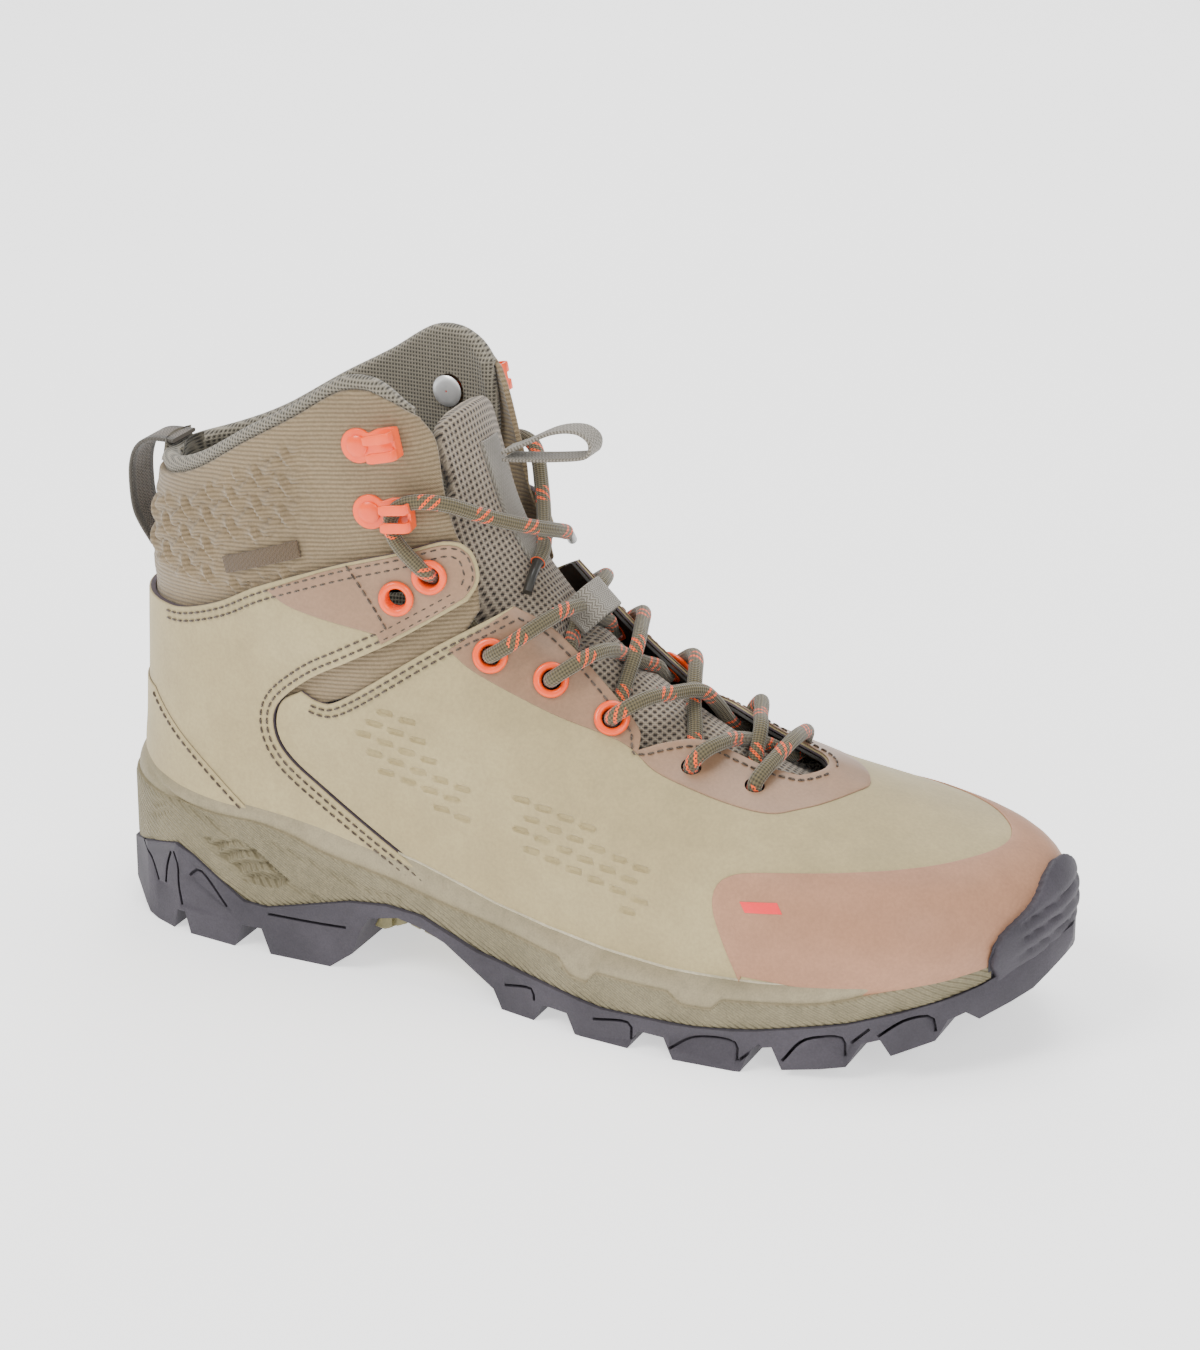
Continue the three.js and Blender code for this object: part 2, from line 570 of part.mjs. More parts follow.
const tongueLower = tongueRoom.subtract(last(TONGUE_LAYER[1])).intersect(slab(27, TONGUE_LOWER));
place("tongue", tongueLower.subtract(laceRoom), TONGUE_MESH);
const tongueUpper = tongueRoom.intersect(slab(TONGUE_TOP_HALF_WIDTH, TONGUE_UPPER));
place("tongue_top", tongueUpper.subtract(laceRoom), TONGUE_MESH);

const TONGUE_STRIP = [[125.2, 150.6], [122.6, 155.2], [121.6, 154.7], [124.4, 150.4]];
place("tongue_webbing", slab(6, shift(TONGUE_STRIP, 0.9, 0.6)), WEBBING);

const PULL_LOOP = [
  [122.3, 161], [128, 163.6], [138, 169], [146, 170.6], [151, 168.6], [152, 165], [149.4, 161.7],
  [140, 159.9], [128, 158.3], [122.8, 157.8], [122.8, 159], [128, 159.5], [140, 161.1], [148.7, 162.9],
  [150.7, 165.2], [150, 167.6], [145.8, 169.3], [138.4, 167.8], [128.5, 162.4], [122.6, 159.9],
];
place("tongue_pull_loop", slab(4.5, PULL_LOOP), WEBBING);

const KEEPER_PROFILE = [
  [-9.5, -3.6], [-6.4, -3.2], [-5, 3.8], [5, 3.8], [6.4, -3.2], [9.5, -3.6], [9.5, -2.5], [7.4, -2.1],
  [6, 4.9], [-6, 4.9], [-7.4, -2.1], [-9.5, -2.5],
];
const keeperShape = new THREE.Shape(KEEPER_PROFILE.map(([x, z]) => new THREE.Vector2(x, z)));
const keeperBand = new THREE.ExtrudeGeometry(keeperShape, { depth: 11, bevelEnabled: false });
keeperBand.translate(0, 0, -5.5).rotateX(Math.PI / 2);
const keeperLevel = nearestRidge(new THREE.Vector3(139, 0, 103));
const ridgeNormal = lastNormal(1, keeperLevel);
const keeperTilt = Math.atan2(ridgeNormal.x, ridgeNormal.z);
const keeperAt = new THREE.Matrix4().makeRotationY(keeperTilt).setPosition(lastPoint(1, keeperLevel));
place("lace_keeper", solid(keeperBand.applyMatrix4(keeperAt)), WEBBING);

// ---------------------------------------------------------------- heel pull loop
const HEEL_LOOP = [
  [12, 150.6], [3, 150.4], [-3, 146], [-4.6, 134], [-2, 122], [3, 114], [3.2, 117.4], [-0.6, 123],
  [-3.1, 134], [-1.6, 145], [3.4, 149], [12, 149.3],
];
place("heel_pull_loop", slab(7, HEEL_LOOP), WEBBING);

// ---------------------------------------------------------------- sole
const cavity = lastSolid(CAVITY, 0, 4, 4).translate([0, 0, -GAP]);
const solePlan = [...SOLE_PLAN_LATERAL, ...SOLE_PLAN_MEDIAL];
const outsoleSide = across([...MIDSOLE_BOTTOM, [292, 32], ...LUG_BOTTOM]);
const outsoleBlock = outsoleSide.intersect(upright(solePlan, -1, 60));
const bumper = layer(BUMPER_LAYER).intersect(across(BUMPER_EDGE));
place("outsole", outsoleBlock.subtract(cavity).add(bumper), OUTSOLE_RUBBER);
place("arch_insert", slab(34, ARCH_INSERT), ARCH_PLASTIC);

const midsolePlan = solePlan.map(([x, y]) => [148 + (x - 148) * 0.993, y * 0.975]);
const midsoleSide = [...shift(MIDSOLE_BOTTOM, 0, GAP), ...MIDSOLE_TOP];
const BOARD_SLOPE = Math.atan2(10, 285);
const SHANK = { length: 100, width: 18, thickness: 1.6, x: 115, z: 26.85 };
const shankBox = (grow) => {
  const { length, width, thickness, x, z } = SHANK;
  const box = new THREE.BoxGeometry(length + grow, width + grow, thickness + grow);
  return solid(box.rotateY(BOARD_SLOPE).translate(x, 0, z + grow / 4));
};
const midsole = across(midsoleSide)
  .intersect(upright(midsolePlan, -1, 60))
  .subtract(cavity)
  .subtract(shankBox(2 * GAP));
place("midsole", midsole, MIDSOLE_FOAM);
place("shank_plate", shankBox(0), STEEL);
place("insole_board", lastSolid(-6.4, 0.03, 0.14, 1), BOARD);
place("footbed", lastSolid(-7.4, 0.17, 0.44, 1), LINING_MESH);

// ---------------------------------------------------------------- the origin, under the middle
const footprint = new THREE.Box3().setFromObject(boot);
const middle = footprint.getCenter(new THREE.Vector3());
boot.position.set(-middle.x, -middle.y, -footprint.min.z);

export default boot;
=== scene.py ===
# %% [markdown]
# # A mid-height hiking boot, made piece by piece
# A boot is a stack of thin layers pulled over a foot-shaped block, the last, and set on a sole.
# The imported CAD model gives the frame: sizes, places and joints. Here every visible layer is made
# again as the maker would cut it: a flat outline, laid on the last at its own height.

# %%
import math

import bmesh
import bpy
import numpy as np
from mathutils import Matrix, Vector


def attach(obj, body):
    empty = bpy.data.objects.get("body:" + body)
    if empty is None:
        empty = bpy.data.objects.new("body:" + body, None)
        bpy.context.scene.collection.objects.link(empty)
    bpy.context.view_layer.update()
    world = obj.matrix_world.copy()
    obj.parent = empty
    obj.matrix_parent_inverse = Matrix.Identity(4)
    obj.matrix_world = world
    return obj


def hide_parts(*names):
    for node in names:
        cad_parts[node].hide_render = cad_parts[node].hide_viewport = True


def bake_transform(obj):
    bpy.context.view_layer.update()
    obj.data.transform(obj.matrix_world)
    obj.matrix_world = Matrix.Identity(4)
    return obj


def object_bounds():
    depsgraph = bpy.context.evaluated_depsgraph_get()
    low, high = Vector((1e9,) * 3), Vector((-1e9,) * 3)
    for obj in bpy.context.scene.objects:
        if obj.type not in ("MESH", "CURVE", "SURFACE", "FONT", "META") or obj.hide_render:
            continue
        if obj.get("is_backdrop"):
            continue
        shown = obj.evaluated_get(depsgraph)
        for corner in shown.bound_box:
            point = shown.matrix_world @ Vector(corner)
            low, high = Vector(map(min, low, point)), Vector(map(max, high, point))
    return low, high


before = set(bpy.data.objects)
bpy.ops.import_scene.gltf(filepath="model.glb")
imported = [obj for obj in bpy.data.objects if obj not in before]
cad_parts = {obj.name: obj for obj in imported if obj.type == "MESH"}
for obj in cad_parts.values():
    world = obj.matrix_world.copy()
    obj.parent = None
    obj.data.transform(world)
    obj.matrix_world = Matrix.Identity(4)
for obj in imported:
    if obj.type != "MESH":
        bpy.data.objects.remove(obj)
CAD_BOX = [list(corner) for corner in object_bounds()]

# %% [markdown]
# ## Camera
# It stands in front and to the right of the boot's outer side, a little above it, as for a
# catalogue view. A long lens keeps the sole from spreading at the edges.

# %%
AIM = Vector((0.002, 0.00175, 0.080))
AZIMUTH, ELEVATION = math.radians(24.53), math.radians(21.67)
BACK = Vector((
    math.sin(AZIMUTH) * math.cos(ELEVATION),
    -math.cos(AZIMUTH) * math.cos(ELEVATION),
    math.sin(ELEVATION),
))
camera_data = bpy.data.cameras.new("camera")
camera_data.sensor_width = 36
camera_data.lens = 107.3
camera_data.shift_x, camera_data.shift_y = 0.0063, 0.0301
camera_data.clip_start, camera_data.clip_end = 0.05, 30
camera = bpy.data.objects.new("camera", camera_data)
bpy.context.scene.collection.objects.link(camera)
camera.location = AIM + BACK * 1.2128
camera.rotation_euler = (-BACK).to_track_quat("-Z", "Y").to_euler()
bpy.context.scene.camera = camera
print("camera at", [round(c, 3) for c in camera.location])

# %% [markdown]
# ## The last
# Shoemakers shape the upper over a last. Here the last is a grid of rings: each row is one level,
# with the heel end, the toe end and the half widths round it. A place on it is (u, level): u is 0
# at the heel, 1 at the toe by the outer side, and 2 at the heel again. Everything that is sewn or
# glued to the boot is then a place and a height, in millimetres.

# %%
LAST_LEVELS = np.array([
    [5, 32, 290, 22, 62, 55, 38, 40, 56, 72, 68, 66, 51, 32, 36, 54],
    [1, 48, 297, 40, 60, 55, 41, 41, 57, 77, 74, 68, 52, 35, 39, 55],
    [1.5, 64, 291, 55, 55, 52, 41, 40, 52, 63, 62, 60, 49, 37, 40, 52],
    [2, 80, 262, 64, 50, 48, 41, 39, 42, 44, 38, 40, 41, 38, 40, 49],
    [2.5, 94, 226, 74, 46, 45, 40, 38, 37, 30, 27, 29, 36, 38, 39, 46],
    [3, 106, 193, 88, 42, 42, 39, 38, 33, 31, 27, 30, 33, 38, 39, 42],
    [4, 118, 161, 107, 40, 39, 38, 38, 34, 36, 33, 36, 34, 38, 37, 39],
    [5.5, 131, 136, 132, 38, 37, 36, 37, 37, 42, 42, 42, 37, 37, 36, 37],
    [7, 141, 124, 155, 37, 36, 34, 35, 38, 49, 50, 49, 38, 35, 34, 36],
    [8.5, 150, 116, 178, 36, 35, 33, 34, 38, 52, 56, 52, 38, 34, 33, 35],
    [10, 159, 112, 200, 36, 35, 33, 34, 38, 52, 56, 52, 38, 34, 33, 35],
], float)
TOP_LEVEL = len(LAST_LEVELS) - 1
WIDTHS = 12
TOE_SHIFT = 7
ORIGIN = np.array([-148.0, 1.75, 0.0])  # from the last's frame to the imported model's frame, mm
MM = 0.001


def catmull(p0, p1, p2, p3, t):
    """One span of a smooth curve through p1 and p2."""
    return p1 + 0.5 * t * (p2 - p0 + t * (2 * p0 - 5 * p1 + 4 * p2 - p3 + t * (3 * (p1 - p2) + p3 - p0)))


def last_rows(level):
    level = np.clip(level, 0, TOP_LEVEL - 1e-9)
    i = np.floor(level).astype(int)
    row = lambda k: LAST_LEVELS[np.clip(k, 0, TOP_LEVEL)]
    a, b, c, d = row(i - 1), row(i), row(i + 1), row(i + 2)
    a = np.where((i == 0)[..., None], 2 * b - c, a)
    d = np.where((i == TOP_LEVEL - 1)[..., None], 2 * c - b, d)
    return catmull(a, b, c, d, (level - i)[..., None])


def last_point(u, level):
    """The point of the last at (u, level), in mm."""
    u, level = np.broadcast_arrays(np.asarray(u, float), np.asarray(level, float))
    rows = last_rows(level)
    turn = np.mod(u, 2.0)
    k = np.floor(turn * 6).astype(int)
    at = lambda j: np.take_along_axis(rows[..., 4:], np.mod(k + j, WIDTHS)[..., None], -1)[..., 0]
    width = catmull(at(-1), at(0), at(1), at(2), turn * 6 - k)
    s = (1 - np.cos(turn * math.pi)) / 2
    x = rows[..., 0] + (rows[..., 2] - rows[..., 0]) * s
    z = rows[..., 1] + (rows[..., 3] - rows[..., 1]) * s
    swing = TOE_SHIFT * np.maximum(0, (x - 150) / 150) ** 2
    return np.stack([x, swing - np.sin(turn * math.pi) * width, z], -1)


def last_slopes(u, level, step=1e-3):
    """How the point moves for one unit of u and one of level."""
    up, down = np.minimum(level + step, TOP_LEVEL), np.maximum(level - step, 0)
    along = (last_point(u + step, level) - last_point(u - step, level)) / (2 * step)
    rise = (last_point(u, up) - last_point(u, down)) / (up - down)[..., None]
    return along, rise


def unit(v):
    return v / np.maximum(np.linalg.norm(v, axis=-1, keepdims=True), 1e-12)


def last_normal(u, level):
    u, level = np.broadcast_arrays(np.asarray(u, float), np.asarray(level, float))
    return unit(np.cross(*last_slopes(u, level)))


def on_last(u, level, height=0.0):
    return last_point(u, level) + last_normal(u, level) * np.asarray(height, float)[..., None]


def place_of(points, side=-1):
    """The (u, level) of side-view points [x, z], on the outer side (-1) or the inner one (+1)."""
    points = np.asarray(points, float)
    low, high = np.zeros(len(points)), np.full(len(points), float(TOP_LEVEL))
    for _ in range(40):
        middle = (low + high) / 2
        rows = last_rows(middle)
        s = (points[:, 0] - rows[:, 0]) / (rows[:, 2] - rows[:, 0])
        below = rows[:, 1] + (rows[:, 3] - rows[:, 1]) * s < points[:, 1]
        low, high = np.where(below, middle, low), np.where(below, high, middle)
    u = np.arccos(1 - 2 * np.clip(s, 0, 1)) / math.pi
    return np.stack([u if side < 0 else 2 - u, middle], -1)


print("ball of the foot at", last_point(0.75, 0.5).round(1), "mm on the last")

# %% [markdown]
# ## Outlines
# A pattern piece is drawn as a few smooth lines that meet at corners. Each line is resampled
# about every 2 mm, so that it stays a curve once it is laid on the last.


# %%
def smooth_line(points, spacing=2.0):
    """A smooth open line through the points, with one point every `spacing` mm."""
    p = np.asarray(points, float)
    if len(p) > 2:
        full = np.vstack([2 * p[0] - p[1], p, 2 * p[-1] - p[-2]])
        t = np.linspace(0, 1, 16, endpoint=False)[:, None]
        spans = [catmull(*full[i:i + 4], t) for i in range(len(p) - 1)]
        p = np.vstack(spans + [p[-1:]])
    steps = np.linalg.norm(np.diff(p, axis=0), axis=1)
    along = np.concatenate([[0], np.cumsum(steps)])
    count = max(2, int(round(along[-1] / spacing)) + 1)
    wanted = np.linspace(0, along[-1], count)
    return np.stack([np.interp(wanted, along, p[:, k]) for k in range(p.shape[1])], -1)


def mirrored(line):
    """The same line of places on the other side of the boot, in the opposite order."""
    return np.stack([2 - line[::-1, 0], line[::-1, 1]], -1)


def inset(loop, distance, closed=True):
    """A parallel line of places, `distance` mm to the left of the line on the last."""
    points = last_point(loop[:, 0], loop[:, 1])
    if closed:
        tangent = unit(np.roll(points, -1, 0) - np.roll(points, 1, 0))
    else:
        tangent = unit(np.gradient(points, axis=0))
    along, rise = last_slopes(loop[:, 0], loop[:, 1])
    normal = unit(np.cross(along, rise))
    aim = np.cross(normal, tangent) * distance
    a, b, c = (along * along).sum(-1), (along * rise).sum(-1), (rise * rise).sum(-1)
    p, q = (aim * along).sum(-1), (aim * rise).sum(-1)
    det = a * c - b * b
    return loop + np.stack([(c * p - b * q) / det, (a * q - b * p) / det], -1)


U_SCALE, V_SCALE = 330.0, 16.0  # mm of surface for one unit of u and of level, on average


# %% [markdown]
# ## Laying a panel on the last
# A cutter could press the flat outline straight onto the last, but then its edge would be a sharp
# step. Leather has a soft cut edge, so each panel gets a few rings just inside its outline, where
# the height falls off on a round. The rest is cut into a fine grid, so that quilting and embossing
# are real relief. The panel has a top, a rim and an underside, and is closed.


# %%
def cut_grid(bm, faces, axis, places):
    normal = (1, 0, 0) if axis == 0 else (0, 1, 0)
    for place in places:
        point = (place, 0, 0) if axis == 0 else (0, place, 0)
        if faces is None:
            geometry = bm.verts[:] + bm.edges[:] + bm.faces[:]
        else:
            faces = [f for f in faces if f.is_valid]
            edges = {e for f in faces for e in f.edges}
            verts = {v for e in edges for v in e.verts}
            geometry = faces + list(edges) + list(verts)
        cut = bmesh.ops.bisect_plane(bm, geom=geometry, dist=1e-5, plane_co=point, plane_no=normal)
        if faces is not None:
            faces = list(set(faces) | {g for g in cut["geom"] if isinstance(g, bmesh.types.BMFace)})
    return faces


def cut_hole(bm, u, level, radius, sides=20):
    """Opens a round hole of `radius` mm in the flat panel."""
    along, rise = last_slopes(np.array(u), np.array(level))
    e1 = unit(along)
    e2 = unit(np.cross(np.cross(along, rise), e1))
    frame2 = np.array([[along @ e1, rise @ e1], [along @ e2, rise @ e2]])
    angles = 2 * math.pi * np.arange(sides) / sides
    ring = np.stack([np.cos(angles), np.sin(angles)]) * radius
    flat = (np.linalg.inv(frame2) @ ring).T + [u, level]
    flat = flat * [U_SCALE, V_SCALE]
    centre = flat.mean(0)
    reach = 1.6 * np.linalg.norm(flat - centre, axis=1).max() + 2
    near = [f for f in bm.faces if (f.calc_center_median().xy - Vector(centre)).length < reach]
    for i in range(sides):
        a, b = flat[i], flat[(i + 1) % sides]
        near = [f for f in near if f.is_valid]
        edges = {e for f in near for e in f.edges}
        geometry = near + list(edges) + list({v for e in edges for v in e.verts})
        direction = b - a
        cut = bmesh.ops.bisect_plane(
            bm, geom=geometry, dist=1e-6, plane_co=(*a, 0), plane_no=(direction[1], -direction[0], 0),
        )
        near = list(set(near) | {g for g in cut["geom"] if isinstance(g, bmesh.types.BMFace)})
    turned = np.sign(np.cross(flat[1] - flat[0], flat[2] - flat[1]))
    inside = []
    for f in near:
        if not f.is_valid:
            continue
        c = np.array(f.calc_center_median().xy)
        sides_seen = [np.cross(flat[(i + 1) % sides] - flat[i], c - flat[i]) * turned for i in range(sides)]
        if min(sides_seen) > 0:
            inside.append(f)
    bmesh.ops.delete(bm, geom=inside, context="FACES")


def new_object(name, bm, materials):
    mesh = bpy.data.meshes.new(name)
    bm.to_mesh(mesh)
    bm.free()
    made = bpy.data.objects.new(name, mesh)
    bpy.context.scene.collection.objects.link(made)
    for item in materials:
        mesh.materials.append(item)
    return made


def finish_piece(made, body="boot", replaces=(), slot=None, smooth=40):
    """Soft shading up to an angle, then the CAD body that the piece rides on."""
    made.data.shade_smooth()
    made.data.set_sharp_from_angle(angle=math.radians(smooth))
    if body:
        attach(made, body)
    if replaces:
        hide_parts(*replaces)
    print(f"{made.name}: {len(made.data.polygons)} faces")
    return made


def panel(name, loop, top, bottom, materials, cell=2.2, edge=0.5, edge_under=0.0, holes=(),
          relief=None, fine=(), **place):
    """A closed panel on the last. `relief` adds height in mm at (u, level, points)."""
    flat = loop * [U_SCALE, V_SCALE]
    nxt = np.roll(flat, -1, 0)
    if (flat[:, 0] * nxt[:, 1] - nxt[:, 0] * flat[:, 1]).sum() < 0:
        loop = loop[::-1]
    bm = bmesh.new()
    depth_layer = bm.verts.layers.float.new("depth")
    deepest = max(edge, edge_under)
    depths = [0.0, 0.08 * deepest, 0.3 * deepest, 0.6 * deepest, deepest]
    rings = []
    for depth in depths:
        ring = inset(loop, depth) * [U_SCALE, V_SCALE]
        verts = [bm.verts.new((*p, 0)) for p in ring]
        for v in verts:
            v[depth_layer] = depth
        rings.append(verts)
    count = len(loop)
    for outer, inner in zip(rings, rings[1:]):
        for i in range(count):
            j = (i + 1) % count
            bm.faces.new((outer[i], outer[j], inner[j], inner[i]))
    bm.faces.new(rings[-1])
    lows = flat.min(0)
    highs = flat.max(0)
    for axis in (1, 0):
        cut_grid(bm, None, axis, np.arange(lows[axis] + cell, highs[axis], cell))
    for (u0, v0), (u1, v1), fine_cell in fine:
        a, b = np.array([u0, v0]) * [U_SCALE, V_SCALE], np.array([u1, v1]) * [U_SCALE, V_SCALE]
        chosen = []
        for f in bm.faces:
            c = f.calc_center_median()
            if a[0] < c.x < b[0] and a[1] < c.y < b[1]:
                chosen.append(f)
        for axis in (1, 0):
            chosen = cut_grid(bm, chosen, axis, np.arange(a[axis], b[axis], fine_cell))
    for hole in holes:
        cut_hole(bm, *hole)
    bm.verts.index_update()
    places = np.array([v.co.xy for v in bm.verts]) / [U_SCALE, V_SCALE]
    depth = np.array([v[depth_layer] for v in bm.verts])
    u, level = places[:, 0], np.clip(places[:, 1], 0, TOP_LEVEL)
    base = last_point(u, level)
    normal = last_normal(u, level)

    def fall(radius):
        if radius <= 0:
            return 0 * depth
        inside = np.clip(radius - depth, 0, radius)
        return radius - np.sqrt(np.maximum(radius * radius - inside * inside, 0))

    height = top(u, level, base) if callable(top) else np.full(len(u), float(top))
    under = bottom(u, level, base) if callable(bottom) else np.full(len(u), float(bottom))
    if relief:
        height = height + relief(u, level, base) * np.clip(depth / max(deepest, 0.3), 0, 1)
    height = height - fall(edge)
    under = under + fall(edge_under)
    under = np.minimum(under, height - 0.05)
    upper = (base + normal * height[:, None] + ORIGIN) * MM
    lower = (base + normal * under[:, None] + ORIGIN) * MM
    uv_layer = bm.loops.layers.uv.new("Flat")
    upper_faces = bm.faces[:]
    verts = bm.verts[:]
    for f in upper_faces:
        for corner in f.loops:
            corner[uv_layer].uv = (corner.vert.co.x * MM, corner.vert.co.y * MM)
    border = [e for e in bm.edges if len(e.link_faces) == 1]
    twins = [bm.verts.new(v.co) for v in verts]
    for f in upper_faces:
        copy = bm.faces.new([twins[v.index] for v in reversed(f.verts)])
        for corner in copy.loops:
            corner[uv_layer].uv = (corner.vert.co.x * MM, corner.vert.co.y * MM)
    rim_material = 1 if len(materials) > 1 else 0
    for e in border:
        corner = e.link_loops[0]
        a, b = corner.vert, corner.link_loop_next.vert
        rim = bm.faces.new((b, a, twins[a.index], twins[b.index]))
        rim.material_index = rim_material
    for v, twin, p, q in zip(verts, twins, upper, lower):
        v.co = p
        twin.co = q
    return finish_piece(new_object(name, bm, materials), **place)

# %% [markdown]
# ## Materials
# Each finish is built from nodes: a base colour that wanders a little, a pattern at the real scale
# (weave, rib, mesh, grain) and a bump from the same pattern. Patterns read the piece's own
# coordinates, in metres, so they keep their scale and turn with the piece.


# %%
def linear(colour):
    """A hex sRGB colour as the linear values that the shader wants."""
    parts = [int(colour[i:i + 2], 16) / 255 for i in (1, 3, 5)]
    return [p / 12.92 if p <= 0.04045 else ((p + 0.055) / 1.055) ** 2.4 for p in parts] + [1.0]


def add_node(tree, kind, links=None, **settings):
    """Adds a node, with its settings and what goes into its sockets."""
    made = tree.nodes.new(kind)
    for key, value in settings.items():
        setattr(made, key, value)
    for socket, source in (links or {}).items():
        if isinstance(source, bpy.types.NodeSocket):
            tree.links.new(source, made.inputs[socket])
        else:
            made.inputs[socket].default_value = source
    return made


def new_material(name, roughness, **sockets):
    """A Principled material and its tree; sockets are set directly on the shader."""
    made = bpy.data.materials.new(name)
    made.use_nodes = True
    shader = made.node_tree.nodes["Principled BSDF"]
    shader.inputs["Roughness"].default_value = roughness
    for key, value in sockets.items():
        shader.inputs[key.replace("_", " ")].default_value = value
    return made, made.node_tree, shader


def maths(tree, operation, *values):
    return add_node(tree, "ShaderNodeMath", dict(enumerate(values)), operation=operation).outputs[0]


def noise(tree, vector, scale, detail=3.0, roughness=0.55):
    links = {"Vector": vector, "Scale": scale, "Detail": detail, "Roughness": roughness}
    return add_node(tree, "ShaderNodeTexNoise", links).outputs["Fac"]


def ramp(tree, factor, stops):
    """A colour ramp; stops are (place, hex colour or grey value)."""
    made = add_node(tree, "ShaderNodeValToRGB", {"Fac": factor})
    while len(made.color_ramp.elements) < len(stops):
        made.color_ramp.elements.new(0.5)
    for element, (place, colour) in zip(made.color_ramp.elements, stops):
        element.position = place
        element.color = linear(colour) if isinstance(colour, str) else (colour,) * 3 + (1,)
    return made.outputs["Color"]


def mix(tree, factor, a, b, blend="MIX"):
    made = add_node(tree, "ShaderNodeMix", data_type="RGBA", blend_type=blend)
    for socket, source in ((0, factor), (6, a), (7, b)):
        if isinstance(source, bpy.types.NodeSocket):
            tree.links.new(source, made.inputs[socket])
        else:
            made.inputs[socket].default_value = linear(source) if isinstance(source, str) else source
    return made.outputs[2]


def object_space(tree):
    return add_node(tree, "ShaderNodeTexCoord").outputs["Object"]


def flat_space(tree, name="Flat"):
    return add_node(tree, "ShaderNodeUVMap", uv_map=name).outputs["UV"]


def axes(tree, vector):
    made = add_node(tree, "ShaderNodeSeparateXYZ", {"Vector": vector})
    return made.outputs[0], made.outputs[1], made.outputs[2]


def bump(tree, shader, height, distance, strength=1.0, under=None):
    """Bump of `distance` mm; `under` is an earlier bump that this one adds to."""
    links = {"Height": height, "Distance": distance * MM, "Strength": strength}
    if under is not None:
        links["Normal"] = under
    made = add_node(tree, "ShaderNodeBump", links)
    tree.links.new(made.outputs["Normal"], shader.inputs["Normal"])
    return made.outputs["Normal"]


def set_colour(tree, shader, colour):
    tree.links.new(colour, shader.inputs["Base Color"])


def set_roughness(tree, shader, factor, low, high):
    made = add_node(tree, "ShaderNodeMapRange", {"Value": factor, "To Min": low, "To Max": high})
    tree.links.new(made.outputs[0], shader.inputs["Roughness"])


print("material tools ready")

# %% [markdown]
# ### Leathers and films
# Nubuck is brushed leather: matt, with a very short nap, soft clouds of colour and fine pores. The
# film on the toe, eyestay and strap is the same leather with a smooth coat, so it shines a little.


# %%
def grain_leather(name, light, dark, roughness, pore, coat=0.0, nap=0.0):
    made, tree, shader = new_material(
        name, roughness, Coat_Weight=coat, Coat_Roughness=0.35, Sheen_Weight=nap, Sheen_Roughness=0.5,
        Specular_IOR_Level=0.35,
    )
    where = object_space(tree)
    clouds = noise(tree, where, 26, 4)
    fibres = noise(tree, where, 900, 2, 0.6)
    worn = noise(tree, where, 120, 3)
    colour = ramp(tree, clouds, [(0.3, dark), (0.7, light)])
    colour = mix(tree, 0.10, colour, ramp(tree, fibres, [(0.35, 0.25), (0.65, 0.8)]), "OVERLAY")
    set_colour(tree, shader, mix(tree, 0.08, colour, ramp(tree, worn, [(0.4, 0.3), (0.6, 0.7)]), "OVERLAY"))
    set_roughness(tree, shader, worn, roughness - 0.07, roughness + 0.06)
    cells = add_node(tree, "ShaderNodeTexVoronoi", {"Vector": where, "Scale": 1500.0}).outputs["Distance"]
    first = bump(tree, shader, clouds, 0.35, 0.5)
    second = bump(tree, shader, cells, pore, 0.35, first)
    bump(tree, shader, fibres, pore * 0.7, 0.5, second)
    return made


NUBUCK = grain_leather("nubuck", "#A99A72", "#9D8E67", 0.78, 0.05, nap=0.18)
FILM = grain_leather("coated_film", "#94755B", "#866850", 0.42, 0.03, coat=0.18)
TOE_FILM = grain_leather("toe_film", "#A67C61", "#9B7157", 0.55, 0.02, coat=0.05)
CUT_EDGE = grain_leather("cut_edge", "#5B5157", "#473E44", 0.7, 0.05)
DARK_BACKING = grain_leather("dark_backing", "#3A3733", "#2B2927", 0.6, 0.03)
print("leathers:", NUBUCK.name, FILM.name, TOE_FILM.name, CUT_EDGE.name)

# %% [markdown]
# ### Textiles
# The cuff is a ribbed twill: fine level ribs about 1.4 mm apart. The tongue and the collar lining
# are knitted spacer meshes, with rows of small holes. Webbing is a narrow woven tape.


# %%
def ribbed_fabric(name, light, dark, pitch):
    made, tree, shader = new_material(name, 0.85, Sheen_Weight=0.3, Sheen_Roughness=0.45,
                                      Specular_IOR_Level=0.25)
    where = object_space(tree)
    x, y, z = axes(tree, where)
    wobble = maths(tree, "MULTIPLY", noise(tree, where, 60, 2), 0.0012)
    tilt = maths(tree, "MULTIPLY", x, -0.12)
    height = maths(tree, "ADD", maths(tree, "ADD", z, tilt), wobble)
    turn = maths(tree, "MULTIPLY", height, 2 * math.pi / (pitch * MM))
    rib = maths(tree, "MULTIPLY_ADD", maths(tree, "SINE", turn), 0.5, 0.5)
    twill = maths(tree, "SINE", maths(tree, "MULTIPLY", maths(tree, "ADD", x, z), 2 * math.pi / 0.0006))
    yarn = maths(tree, "MULTIPLY_ADD", twill, 0.12, rib)
    fuzz = noise(tree, where, 1400, 2)
    colour = ramp(tree, yarn, [(0.1, dark), (0.75, light)])
    colour = mix(tree, 0.3, colour, ramp(tree, fuzz, [(0.3, 0.3), (0.7, 0.75)]), "OVERLAY")
    clouds = ramp(tree, noise(tree, where, 40, 3), [(0.35, 0.42), (0.65, 0.58)])
    set_colour(tree, shader, mix(tree, 0.35, colour, clouds, "OVERLAY"))
    first = bump(tree, shader, yarn, 0.22, 0.8)
    bump(tree, shader, fuzz, 0.08, 0.5, first)
    return made


